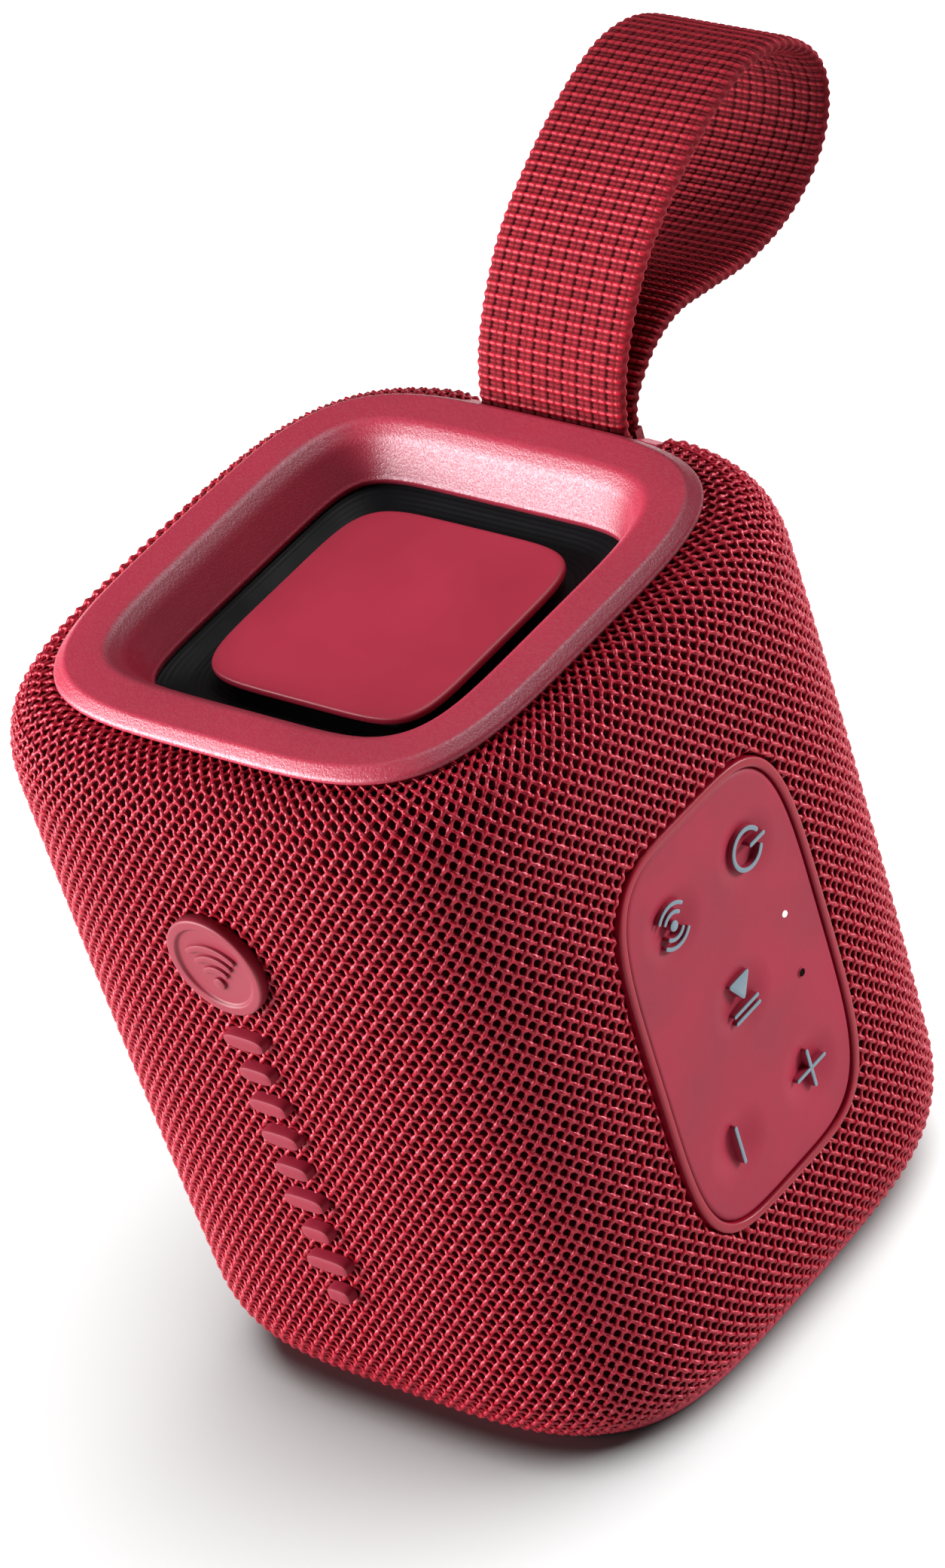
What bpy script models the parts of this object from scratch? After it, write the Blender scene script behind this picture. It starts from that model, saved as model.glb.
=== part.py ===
"""Portable fabric-wrapped speaker standing on one end, with every piece as its own closed solid.

The script works in millimetres and builds in metres. The origin is the centre of the rubber base
pad, +Z points up the body, the front with the badge faces -Y and the keypad faces +X.
"""

import math

import bmesh
import bpy
from mathutils import Matrix, Vector

MM = 0.001
GAP = 0.3

# Body. Half sizes are (X, Y); the body is a rounded square that narrows a little downwards.
HEIGHT = 113.2
BODY_TOP_HALF = (43.7, 44.2)
BODY_FOOT_HALF = (41.9, 43.9)
BODY_POWER = 3.75
BODY_BOW = 0.3
TOP_SHOULDER = 11.2
FOOT_SHOULDER = 14.0
FABRIC_EDGE_HALF = 35.4
FABRIC_EDGE_DEPTH = 2.2
FABRIC_THICK = 1.6
SHELL_THICK = 2.2
SEGMENTS = 40
SHELL_SEGMENTS = 32
CORNER_CROWDING = 0.45

# End rings
RING_POWER = 4.1
WELL_DEPTH = 6.6
SCREW_REACH = 27.0

# Passive radiator
PLATE_HALF = (18.85, 18.65)
PLATE_POWER = 5.7
PLATE_DEPTH = 6.3

# Keypad on +X
KEYPAD_CENTRE = (-0.9, 55.2)
KEYPAD_HALF = (18.8, 31.6)
KEYPAD_POWER = 4.25
LIP_WIDTH = 1.2
KEY_SPREAD = (7.96, 18.7)
KEY_RADIUS = 5.0
ICON_PROUD = 0.9
LIGHT_OFFSET = (11.3, 5.0)

# Front marks on -Y
BADGE_RADIUS = 7.6
BADGE_HEIGHT = 84.0
MARK_COUNT = 9
MARK_PITCH = 5.5
MARK_FIRST = 71.2
MARKS_CENTRE_X = -0.5

# Strap
STRAP_WIDTH = 24.8
STRAP_THICK = 1.6
STRAP_HINGE = (38.6, 110.9)
STRAP_NOTCH_HALF = 17.0
STRAP_NOTCH_FLOOR = 104.6
STRAP_BAR_PLACE = (0.0, 37.2, 104.6)

# Back port and side foot
PORT_CENTRE = (0.0, 28.0)
PORT_HALF = (11.0, 6.0)
FOOT_PAD_HALF = (11.0, 24.0)

# Driver, firing through the front
DRIVER_HEIGHT = 56.6
DRIVER_SEAT = -35.6

CRIMSON = (0.42, 0.025, 0.055)
DARK_CRIMSON = (0.30, 0.012, 0.03)


# ---------------------------------------------------------------- scene and materials


def clear_scene():
    for item in list(bpy.data.objects):
        bpy.data.objects.remove(item, do_unlink=True)


def material(name, colour, roughness, metallic=0.0):
    made = bpy.data.materials.new(name)
    made.use_nodes = True
    surface = made.node_tree.nodes["Principled BSDF"]
    surface.inputs["Base Color"].default_value = (*colour, 1.0)
    surface.inputs["Roughness"].default_value = roughness
    surface.inputs["Metallic"].default_value = metallic
    made.diffuse_color = (*colour, 1.0)
    return made


# ---------------------------------------------------------------- outlines


def round_angles(count):
    """Angles round a rounded square, closer together near its four corners."""
    angles = []
    for step in range(count):
        share = 4.0 * step / count
        quarter = math.floor(share)
        part = share - quarter
        part += CORNER_CROWDING * math.sin(2 * math.pi * part) / (2 * math.pi)
        angles.append(math.radians(90.0 * (quarter + part)))
    return angles


def outline(half_a, half_b, power, count=SEGMENTS):
    """Points of a rounded square (power above 2) or an ellipse (power 2)."""
    points = []
    for angle in round_angles(count):
        across = math.cos(angle)
        along = math.sin(angle)
        reach = (abs(across) ** power + abs(along) ** power) ** (-1.0 / power)
        points.append((half_a * reach * across, half_b * reach * along))
    return points


def straight_share(z):
    """0 at the top of the body's straight sides, 1 at their foot."""
    top = HEIGHT - FABRIC_EDGE_DEPTH - TOP_SHOULDER
    foot = FABRIC_EDGE_DEPTH + FOOT_SHOULDER
    return (top - z) / (top - foot)


def half_at(z):
    """The body's half sizes at a height on its straight sides."""
    share = straight_share(z)
    bow = BODY_BOW * 4.0 * share * (1.0 - share)
    return tuple(a * (1.0 - share) + b * share + bow for a, b in zip(BODY_TOP_HALF, BODY_FOOT_HALF))


def side_x(z):
    return half_at(z)[0]


def side_y(z):
    return half_at(z)[1]


def body_loops(inset, turns=5):
    """Level loops down the body, from its top edge to its foot edge, inset from the fabric's face."""
    loops = []
    for step in range(turns + 1):
        turn = math.radians(90.0 * step / turns)
        halves = [FABRIC_EDGE_HALF + (h - inset - FABRIC_EDGE_HALF) * math.sin(turn) for h in BODY_TOP_HALF]
        power = RING_POWER + (BODY_POWER - RING_POWER) * math.sin(turn)
        drop = inset + (TOP_SHOULDER - inset) * (1.0 - math.cos(turn))
        loops.append((halves, HEIGHT - FABRIC_EDGE_DEPTH - drop, power))
    middle = 0.5 * (HEIGHT - TOP_SHOULDER + FOOT_SHOULDER)
    loops.append(([h - inset for h in half_at(middle)], middle, BODY_POWER))
    for step in range(turns + 1):
        turn = math.radians(90.0 * (turns - step) / turns)
        halves = [FABRIC_EDGE_HALF + (h - inset - FABRIC_EDGE_HALF) * math.sin(turn) for h in BODY_FOOT_HALF]
        power = RING_POWER + (BODY_POWER - RING_POWER) * math.sin(turn)
        rise = inset + (FOOT_SHOULDER - inset) * (1.0 - math.cos(turn))
        loops.append((halves, FABRIC_EDGE_DEPTH + rise, power))
    return loops


def level_loop(half_a, half_b, power, z, count=SEGMENTS):
    return [Vector((a, b, z)) for a, b in outline(half_a, half_b, power, count)]


def loops_in_space(loops, count=SEGMENTS):
    return [level_loop(halves[0], halves[1], power, z, count) for halves, z, power in loops]


def smooth_path(points, steps):
    """A curve through hand-placed points (Catmull-Rom), given as (y, z) pairs."""
    padded = [points[0]] + list(points) + [points[-1]]
    path = []
    for index in range(len(points) - 1):
        p0, p1, p2, p3 = [Vector((0.0, *p)) for p in padded[index : index + 4]]
        for step in range(steps):
            t = step / steps
            path.append(
                0.5 * (2 * p1 + (p2 - p0) * t + (2 * p0 - 5 * p1 + 4 * p2 - p3) * t**2
                       + (3 * p1 - p0 - 3 * p2 + p3) * t**3)
            )
    path.append(Vector((0.0, *points[-1])))
    return path


# ---------------------------------------------------------------- solids


def finish_mesh(name, mesh_data, origin, surface, smooth=True):
    bmesh.ops.recalc_face_normals(mesh_data, faces=mesh_data.faces)
    bmesh.ops.translate(mesh_data, verts=mesh_data.verts, vec=-Vector(origin))
    bmesh.ops.scale(mesh_data, verts=mesh_data.verts, vec=(MM, MM, MM))
    mesh = bpy.data.meshes.new(name)
    mesh_data.to_mesh(mesh)
    mesh_data.free()
    for face in mesh.polygons:
        face.use_smooth = smooth
    made = bpy.data.objects.new(name, mesh)
    made.location = Vector(origin) * MM
    bpy.context.scene.collection.objects.link(made)
    if surface is not None:
        mesh.materials.append(surface)
    return made


def add_loft(mesh_data, loops, closed_section=False):
    """Bridges loops of equal length; the ends are capped unless the section closes on itself."""
    rows = [[mesh_data.verts.new(point) for point in loop] for loop in loops]
    count = len(rows[0])
    pairs = list(zip(rows, rows[1:]))
    if closed_section:
        pairs.append((rows[-1], rows[0]))
    for first, second in pairs:
        for index in range(count):
            after = (index + 1) % count
            mesh_data.faces.new((first[index], first[after], second[after], second[index]))
    if not closed_section:
        mesh_data.faces.new(list(reversed(rows[0])))
        mesh_data.faces.new(rows[-1])


def loft(name, loops, surface, origin=(0.0, 0.0, 0.0), closed_section=False, smooth=True):
    mesh_data = bmesh.new()
    add_loft(mesh_data, loops, closed_section)
    return finish_mesh(name, mesh_data, origin, surface, smooth)


def box(name, low, high, surface, origin=None):
    mesh_data = bmesh.new()
    size = Vector(high) - Vector(low)
    centre = (Vector(high) + Vector(low)) / 2
    bmesh.ops.create_cube(mesh_data, size=1.0, matrix=Matrix.Translation(centre) @ Matrix.Diagonal((*size, 1.0)))
    return finish_mesh(name, mesh_data, centre if origin is None else origin, surface, smooth=False)


def turned(name, profile, axis, centre, surface, count=24, hollow=False, origin=None):
    """Turns (radius, position) pairs about an axis through centre; hollow closes the section on itself."""
    loops = [round_loop(radius, position, axis, centre, count) for radius, position in profile]
    return loft(name, loops, surface, origin=centre if origin is None else origin, closed_section=hollow)


def round_loop(radius, position, axis, centre, count):
    loop = []
    for step in range(count):
        angle = 2 * math.pi * step / count
        a = radius * math.cos(angle)
        b = radius * math.sin(angle)
        place = {"X": (position, a, b), "Y": (a, position, b), "Z": (a, b, position)}[axis]
        loop.append(Vector(centre) + Vector(place))
    return loop


def cutter(made):
    made.display_type = "WIRE"
    made.hide_render = True
    return made


def boolean(target, operation, other):
    step = target.modifiers.new(f"{operation.lower()}_{other.name}", "BOOLEAN")
    step.operation = operation
    step.solver = "EXACT"
    step.object = other
    return target


def cut(target, other):
    return boolean(target, "DIFFERENCE", other)


# ---------------------------------------------------------------- body


def keypad_loop(inset, depth, count=SEGMENTS):
    """A loop of the keypad's outline at a depth behind the body's tapered +X side."""
    centre_y, centre_z = KEYPAD_CENTRE
    loop = []
    for a, b in outline(KEYPAD_HALF[0] - inset, KEYPAD_HALF[1] - inset, KEYPAD_POWER, count):
        z = centre_z + b
        loop.append(Vector((side_x(z) - depth, centre_y + a, z)))
    return loop


def back_loop(centre, halves, y, count=24):
    return [Vector((centre[0] + a, y, centre[1] + b)) for a, b in outline(*halves, 4.0, count)]


def side_loop(centre, halves, x, count=32):
    return [Vector((x, centre[0] + a, centre[1] + b)) for a, b in outline(*halves, KEYPAD_POWER, count)]


def body_cutters():
    """Shapes that open the fabric and the shell for the keypad, the port, the side foot and the strap."""
    grown_port = (PORT_HALF[0] + GAP, PORT_HALF[1] + GAP)
    grown_foot = (FOOT_PAD_HALF[0] + GAP, FOOT_PAD_HALF[1] + GAP)
    keypad = loft("keypad_opening", [keypad_loop(-GAP, 12.0), keypad_loop(-GAP, -6.0)], None)
    port = loft("port_opening", [back_loop(PORT_CENTRE, grown_port, y) for y in (34.0, 50.0)], None)
    foot = loft("side_foot_opening", [side_loop((0.0, DRIVER_HEIGHT), grown_foot, x) for x in (-50.0, -41.2)], None)
    return [cutter(item) for item in (keypad, port, foot)]


def strap_notch(name, half_width, floor):
    """A slot for the strap's moulded pocket, cut down from the body's top edge."""
    return cutter(box(name, (-half_width, 32.6, floor), (half_width, 50.0, 118.0), None))


def fabric_sleeve(surface, openings):
    loops = loops_in_space(body_loops(0.0)) + loops_in_space(body_loops(FABRIC_THICK))[::-1]
    sleeve = loft("fabric_sleeve", loops, surface, closed_section=True)
    for opening in openings:
        cut(sleeve, opening)
    return cut(sleeve, strap_notch("fabric_notch", STRAP_NOTCH_HALF, STRAP_NOTCH_FLOOR))


def enclosure(surface, openings):
    """The rigid shell behind the fabric, with a round seat for the driver in its front wall."""
    outside = FABRIC_THICK + GAP
    inside = outside + SHELL_THICK
    outer_loops = loops_in_space(body_loops(outside, turns=3), SHELL_SEGMENTS)
    inner_loops = loops_in_space(body_loops(inside, turns=3), SHELL_SEGMENTS)
    loops = outer_loops + inner_loops[::-1]
    shell = loft("enclosure_shell", loops, surface, closed_section=True)
    centre = (0.0, 0.0, DRIVER_HEIGHT)
    seat = turned("driver_seat_ring", [(24.0, -41.0), (29.6, -41.0), (29.6, DRIVER_SEAT), (24.0, DRIVER_SEAT)],
                  "Y", centre, None, hollow=True)
    sound_hole = turned("sound_hole", [(23.5, -60.0), (23.5, -20.0)], "Y", centre, None)
    boolean(seat, "INTERSECT", cutter(loft("shell_outside", loops_in_space(body_loops(outside + 0.5)), None)))
    boolean(shell, "UNION", cutter(seat))
    cut(shell, cutter(sound_hole))
    cut(shell, driver_screw_holes())
    for opening in openings:
        cut(shell, opening)
    return cut(shell, strap_notch("shell_notch", STRAP_NOTCH_HALF, 98.7))


# ---------------------------------------------------------------- end rings and passive radiator


def ring_section(points, flip=False):
    """Loops of a ring's section, from (half size, depth, power) triples."""
    loops = []
    for half, depth, power in points:
        z = depth if flip else HEIGHT - depth
        loops.append(level_loop(half, half, power, z))
    return loops


def corner_places(reach):
    return [(sx * reach, sy * reach) for sx in (-1, 1) for sy in (-1, 1)]


def joined_posts(name, places, radius, low, high, count=12):
    mesh_data = bmesh.new()
    for x, y in places:
        loops = [round_loop(radius, z, "Z", (x, y, 0.0), count) for z in (low, high)]
        add_loft(mesh_data, loops)
    return finish_mesh(name, mesh_data, (0.0, 0.0, 0.0), None)


def top_ring(surface):
    section = [
        (36.0, 1.7, 4.1), (36.0, 0.95, 4.1), (35.75, 0.35, 4.05), (35.2, 0.0, 4.0),
        (28.9, 0.0, 5.2), (28.3, 0.25, 5.2), (27.7, 1.0, 5.3),
        (24.1, WELL_DEPTH, 7.5), (24.1, 7.2, 7.5), (26.2, 7.2, 7.0), (27.6, 3.2, 5.4),
        (35.0, 3.2, 4.1), (35.0, 1.95, 4.1), (35.7, 1.9, 4.1),
    ]
    ring = loft("top_ring", ring_section(section), surface, closed_section=True)
    posts = joined_posts("ring_posts", corner_places(SCREW_REACH), 2.2, HEIGHT - 8.2, HEIGHT - 2.4)
    holes = joined_posts("ring_screw_holes", corner_places(SCREW_REACH), 1.3, HEIGHT - 9.0, HEIGHT - 3.6)
    boolean(ring, "UNION", cutter(posts))
    cut(ring, cutter(holes))
    return ring


def radiator_frame(surface):
    """A flat frame that clamps the rubber surround up against the ring."""
    section = [(24.6, 9.0, 7.0), (30.0, 9.0, 4.6), (30.0, 10.6, 4.6), (24.6, 10.6, 7.0)]
    frame = loft("radiator_frame", ring_section(section), surface, closed_section=True)
    holes = joined_posts("frame_screw_holes", corner_places(SCREW_REACH), 1.3, HEIGHT - 12.0, HEIGHT - 8.0)
    cut(frame, cutter(holes))
    return frame


def ring_screws(surface):
    for number, (x, y) in enumerate(corner_places(SCREW_REACH), start=1):
        low = HEIGHT - 12.4
        profile = [(2.0, low), (2.0, HEIGHT - 10.9), (1.0, HEIGHT - 10.9), (1.0, HEIGHT - 4.2)]
        turned(f"ring_screw_{number}", profile, "Z", (x, y, 0.0), surface, count=12, origin=(x, y, low))


def radiator_surround(surface):
    """Rubber half-roll that dips between the ring's lip and the moving plate."""
    section = [
        (29.0, 7.5, 4.8), (24.6, 7.5, 7.0), (23.0, 8.4, 6.8), (20.8, 9.4, 6.4), (18.4, 9.2, 6.0),
        (16.6, 8.4, 5.7), (12.5, 8.4, 5.7), (12.5, 9.2, 5.7), (16.4, 9.2, 5.7), (18.2, 10.0, 6.0),
        (20.8, 10.2, 6.4), (21.8, 9.9, 6.6), (24.2, 8.7, 7.0), (29.0, 8.7, 4.8),
    ]
    surround = loft("radiator_surround", ring_section(section), surface, closed_section=True)
    clearance = joined_posts("surround_post_clearance", corner_places(SCREW_REACH), 2.6, HEIGHT - 10.0, HEIGHT - 7.0)
    return cut(surround, cutter(clearance))


def radiator_plate(surface):
    a, b = PLATE_HALF
    section = [
        (a - 0.9, b - 0.9, PLATE_DEPTH), (a - 0.25, b - 0.25, PLATE_DEPTH + 0.2), (a, b, PLATE_DEPTH + 0.7),
        (a - 0.2, b - 0.2, PLATE_DEPTH + 1.2), (15.9, 15.9, PLATE_DEPTH + 1.3), (15.5, 15.5, PLATE_DEPTH + 1.8),
    ]
    loops = [level_loop(x, y, PLATE_POWER, HEIGHT - depth) for x, y, depth in section]
    return loft("radiator_plate", loops, surface, origin=(0.0, 0.0, HEIGHT - PLATE_DEPTH))


def radiator_weight(surface):
    section = [(10.0, 8.4), (10.0, 9.5), (14.0, 9.5), (14.0, 12.5)]
    loops = [level_loop(half, half, PLATE_POWER, HEIGHT - depth, 32) for half, depth in section]
    return loft("radiator_weight", loops, surface, origin=(0.0, 0.0, HEIGHT - PLATE_DEPTH))


def bottom_cap(surface):
    """The foot end's plastic cap: the same rim as the top ring, closed, with a recess for the base pad."""
    section = [
        (28.3, 2.6, 5.0), (28.3, 0.5, 5.0), (35.2, 0.5, 4.0), (35.75, 0.8, 4.05), (36.0, 1.3, 4.1),
        (36.0, 1.7, 4.1), (35.7, 1.9, 4.1), (35.0, 1.95, 4.1), (34.8, 4.8, 4.1),
    ]
    return loft("bottom_cap", ring_section(section, flip=True), surface)


def base_pad(surface):
    section = [(27.2, 0.0), (28.0, 0.6), (28.0, 2.3)]
    loops = [level_loop(half, half, 5.0, z) for half, z in section]
    return loft("base_pad", loops, surface, smooth=False)


# ---------------------------------------------------------------- keypad


def keypad_frame(surface):
    section = [
        (0.0, 0.8), (0.15, 0.35), (0.6, 0.2), (LIP_WIDTH - 0.15, 0.3), (LIP_WIDTH, 0.8), (LIP_WIDTH, 2.4),
        (LIP_WIDTH + 1.4, 2.4), (LIP_WIDTH + 1.4, 3.4), (0.0, 3.4),
    ]
    return loft("keypad_frame", [keypad_loop(inset, depth) for inset, depth in section], surface, closed_section=True)


def key_places():
    """Each key's name and its (y, z) centre: four corners and the middle."""
    centre_y, centre_z = KEYPAD_CENTRE
    dy, dz = KEY_SPREAD
    return {
        "power": (centre_y + dy, centre_z + dz),
        "pair": (centre_y - dy, centre_z + dz),
        "play": (centre_y, centre_z),
        "plus": (centre_y + dy, centre_z - dz),
        "minus": (centre_y - dy, centre_z - dz),
    }


def light_place():
    return (KEYPAD_CENTRE[0] + LIGHT_OFFSET[0], KEYPAD_CENTRE[1] + LIGHT_OFFSET[1])


def microphone_place():
    return (KEYPAD_CENTRE[0] + LIGHT_OFFSET[0], KEYPAD_CENTRE[1] - LIGHT_OFFSET[1])


def holes_along_x(name, places, radius, low, high, count=20):
    mesh_data = bmesh.new()
    for y, z in places:
        add_loft(mesh_data, [round_loop(radius, x, "X", (0.0, y, z), count) for x in (low, high)])
    return cutter(finish_mesh(name, mesh_data, (0.0, 0.0, 0.0), None))


def keypad_panel(surface):
    inset = LIP_WIDTH + GAP
    section = [(inset + 0.3, 0.5), (inset, 0.75), (inset, 2.1)]
    panel = loft("keypad_panel", [keypad_loop(grow, depth) for grow, depth in section], surface)
    cut(panel, holes_along_x("key_holes", key_places().values(), KEY_RADIUS + GAP, 30.0, 50.0))
    cut(panel, holes_along_x("light_hole", [light_place()], 0.9, 30.0, 50.0, 12))
    return cut(panel, holes_along_x("microphone_hole", [microphone_place()], 0.5, 30.0, 50.0, 12))


def bar(centre, half_right, half_up):
    """A four-point outline in an icon's own frame: right runs down the body, up runs backwards."""
    right, up = centre
    return [
        (right - half_right, up - half_up), (right + half_right, up - half_up),
        (right + half_right, up + half_up), (right - half_right, up + half_up),
    ]


def arc(radius, half_width, start, end, steps=12):
    """A thick arc as one outline; angles in degrees from the icon's right."""
    turns = [math.radians(start + (end - start) * step / steps) for step in range(steps + 1)]
    outer = [((radius + half_width) * math.cos(t), (radius + half_width) * math.sin(t)) for t in turns]
    inner = [((radius - half_width) * math.cos(t), (radius - half_width) * math.sin(t)) for t in turns]
    return outer + inner[::-1]


def dot(radius, steps=10):
    return [(radius * math.cos(2 * math.pi * s / steps), radius * math.sin(2 * math.pi * s / steps)) for s in range(steps)]


def cross(reach, half_width):
    r, w = reach, half_width
    return [(-r, -w), (-w, -w), (-w, -r), (w, -r), (w, -w), (r, -w), (r, w), (w, w), (w, r), (-w, r), (-w, w), (-r, w)]


def icon_outlines():
    """Generic marks: power, pairing waves, play and pause, plus, minus."""
    stroke = 0.36
    return {
        "power": [arc(2.75, stroke, 118.0, 422.0, 18), bar((0.0, 2.1), stroke, 1.5)],
        "pair": [dot(0.75), arc(1.9, 0.3, -48.0, 48.0, 6), arc(1.9, 0.3, 132.0, 228.0, 6),
                 arc(3.1, 0.3, -48.0, 48.0, 8), arc(3.1, 0.3, 132.0, 228.0, 8)],
        "play": [[(-2.9, -2.5), (0.5, 0.0), (-2.9, 2.5)], bar((1.3, 0.0), 0.33, 2.4), bar((2.5, 0.0), 0.33, 2.4)],
        "plus": [cross(3.1, stroke)],
        "minus": [bar((0.0, 0.0), 3.1, stroke)],
    }


def raised_icon(name, outlines, place, low, high):
    mesh_data = bmesh.new()
    y, z = place
    for points in outlines:
        loops = [[Vector((x, y + up, z - right)) for right, up in points] for x in (low, high)]
        add_loft(mesh_data, loops)
    return cutter(finish_mesh(name, mesh_data, (0.0, 0.0, 0.0), None))


def keys(surface):
    """Five caps that press inwards; each carries its raised icon and a short stem."""
    icons = icon_outlines()
    for name, (y, z) in key_places().items():
        face = side_x(z)
        profile = [
            (1.6, face - 3.6), (1.6, face - 2.6), (KEY_RADIUS, face - 2.6), (KEY_RADIUS, face - 0.8),
            (KEY_RADIUS - 1.2, face - 1.0),
        ]
        cap = turned(f"key_{name}", profile, "X", (0.0, y, z), surface, count=20, origin=(face - 1.0, y, z))
        boolean(cap, "UNION", raised_icon(f"icon_{name}", icons[name], (y, z), face - 1.5, face - 1.0 + ICON_PROUD))


def key_switches(surface):
    for name, (y, z) in key_places().items():
        face = side_x(z)
        profile = [(1.5, face - 4.3), (1.5, face - 4.9), (2.6, face - 4.9), (2.6, face - 6.1)]
        turned(f"switch_{name}", profile, "X", (0.0, y, z), surface, count=12, origin=(face - 4.9, y, z))


def key_board(surface):
    loops = [keypad_loop(3.0, 6.4, 24), keypad_loop(3.0, 7.6, 24)]
    return loft("key_board", loops, surface, smooth=False)


def light_and_microphone(lens, can):
    y, z = light_place()
    face = side_x(z)
    turned("light_pipe", [(0.6, face - 0.45), (0.6, face - 4.4), (1.0, face - 4.4), (1.0, face - 6.1)], "X",
           (0.0, y, z), lens, count=12, origin=(face - 0.45, y, z))
    y, z = microphone_place()
    face = side_x(z)
    box("microphone", (face - 6.1, y - 1.4, z - 1.9), (face - 5.0, y + 1.4, z + 1.9), can)


# ---------------------------------------------------------------- front marks


def badge(surface):
    front = -side_y(BADGE_HEIGHT)
    profile = [
        (BADGE_RADIUS, front - GAP), (BADGE_RADIUS, front - 1.3), (BADGE_RADIUS - 0.25, front - 1.55),
        (BADGE_RADIUS - 1.3, front - 1.55), (BADGE_RADIUS - 1.5, front - 1.25),
    ]
    return turned("front_badge", profile, "Y", (MARKS_CENTRE_X, 0.0, BADGE_HEIGHT), surface, count=32,
                  origin=(MARKS_CENTRE_X, front, BADGE_HEIGHT))


def mark_half_length(index):
    """Half lengths of the level bars: a generic rising and falling sound level."""
    return 1.7 + 1.9 * abs(math.sin(1.1 + 1.45 * index))


def level_marks(surface):
    """A column of raised bars on one thin carrier strip."""
    last = MARK_FIRST - MARK_PITCH * (MARK_COUNT - 1)
    front = -side_y(0.5 * (MARK_FIRST + last)) - GAP
    carrier = box("level_marks", (MARKS_CENTRE_X - 1.2, front - 0.5, last - 0.9),
                  (MARKS_CENTRE_X + 1.2, front, MARK_FIRST + 0.9), surface)
    mesh_data = bmesh.new()
    for index in range(MARK_COUNT):
        centre = (MARKS_CENTRE_X, MARK_FIRST - MARK_PITCH * index)
        halves = (mark_half_length(index), 1.25)
        add_loft(mesh_data, [back_loop(centre, halves, y, 12) for y in (front - 0.1, front - 1.2)])
    bars = cutter(finish_mesh("level_bars", mesh_data, (0.0, 0.0, 0.0), None))
    return boolean(carrier, "UNION", bars)


# ---------------------------------------------------------------- strap


def ribbon(name, path, width, thick, surface, origin):
    """A flat band swept along a path in the YZ plane."""
    loops = []
    for index, point in enumerate(path):
        before = path[max(index - 1, 0)]
        after = path[min(index + 1, len(path) - 1)]
        along = (after - before).normalized()
        out = Vector((0.0, -along.z, along.y)) * (thick / 2)
        side = Vector((width / 2, 0.0, 0.0))
        loops.append([point - side - out, point + side - out, point + side + out, point - side + out])
    return loft(name, loops, surface, origin=origin)


def strap_loop(surface):
    """Webbing loop leaning back over the body, both legs ending just above the slot."""
    path = [
        (37.6, 112.2), (40.4, 118.2), (44.6, 124.2), (50.0, 129.7), (56.8, 134.2), (64.0, 137.9), (71.2, 140.6),
        (77.6, 141.7), (84.2, 140.3), (89.2, 136.2), (90.8, 131.0), (88.6, 125.4), (83.6, 121.0),
        (76.2, 118.2), (67.6, 117.7), (59.6, 119.0), (53.2, 119.9), (47.4, 118.6), (42.8, 115.6), (40.0, 112.2),
    ]
    return ribbon("strap_loop", smooth_path(path, 2), STRAP_WIDTH, STRAP_THICK, surface, (0.0, *STRAP_HINGE))


def strap_tail(surface):
    """The hidden fold of webbing that hangs round the anchor bar."""
    path = [
        (37.6, 110.2), (37.1, 108.4), (35.6, 106.6), (34.9, 104.6), (35.5, 102.9), (37.2, 102.2),
        (38.9, 102.9), (39.6, 104.6), (39.5, 106.6), (39.6, 108.4), (39.7, 110.2),
    ]
    return ribbon("strap_tail", smooth_path(path, 2), STRAP_WIDTH, STRAP_THICK - 0.2, surface, STRAP_BAR_PLACE)


def strap_bar(surface):
    profile = [(1.1, -14.9), (1.1, 14.9)]
    return turned("strap_bar", profile, "X", STRAP_BAR_PLACE, surface, count=12)


def strap_housing(surface):
    """Moulded pocket behind the ring: holds the anchor bar and lets the webbing out."""
    housing = box("strap_housing", (-16.7, 32.9, 99.0), (16.7, 50.0, 118.0), surface)
    outside = cutter(loft("housing_outside", loops_in_space(body_loops(FABRIC_THICK + GAP)), None))
    tab = box("strap_tab", (-16.7, 32.9, STRAP_NOTCH_FLOOR + GAP), (16.7, 50.0, 118.0), None)
    tab_face = cutter(loft("tab_face", loops_in_space(body_loops(0.4)), None))
    pocket = cutter(box("strap_pocket", (-13.2, 33.9, 101.0), (13.2, 40.7, 120.0), None))
    ring_clear = cutter(box("ring_clearance", (-20.0, 30.0, HEIGHT - 3.5), (20.0, 36.3, 120.0), None))
    bar_hole = cutter(turned("bar_hole", [(1.4, -15.2), (1.4, 15.2)], "X", STRAP_BAR_PLACE, None, count=12))
    boolean(housing, "INTERSECT", outside)
    boolean(cutter(tab), "INTERSECT", tab_face)
    boolean(housing, "UNION", tab)
    cut(housing, pocket)
    cut(housing, ring_clear)
    return cut(housing, bar_hole)


# ---------------------------------------------------------------- back port, side foot, electronics


def port_cover(surface):
    outer = side_y(PORT_CENTRE[1]) - 0.2
    a, b = PORT_HALF
    loops = [
        back_loop(PORT_CENTRE, (a - 1.2, b - 1.2), outer - 2.6), back_loop(PORT_CENTRE, (a, b), outer - 1.8),
        back_loop(PORT_CENTRE, (a, b), outer - 0.35), back_loop(PORT_CENTRE, (a - 0.35, b - 0.35), outer),
    ]
    return loft("port_cover", loops, surface, origin=(0.0, outer, PORT_CENTRE[1] - b))


def usb_socket(surface):
    socket = loft("usb_socket", [back_loop(PORT_CENTRE, (4.5, 1.65), y, 16) for y in (33.0, 40.4)], surface,
                  origin=(0.0, 33.0, PORT_CENTRE[1]))
    mouth = cutter(loft("usb_mouth", [back_loop(PORT_CENTRE, (4.1, 1.25), y, 16) for y in (34.5, 45.0)], None))
    return cut(socket, mouth)


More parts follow.
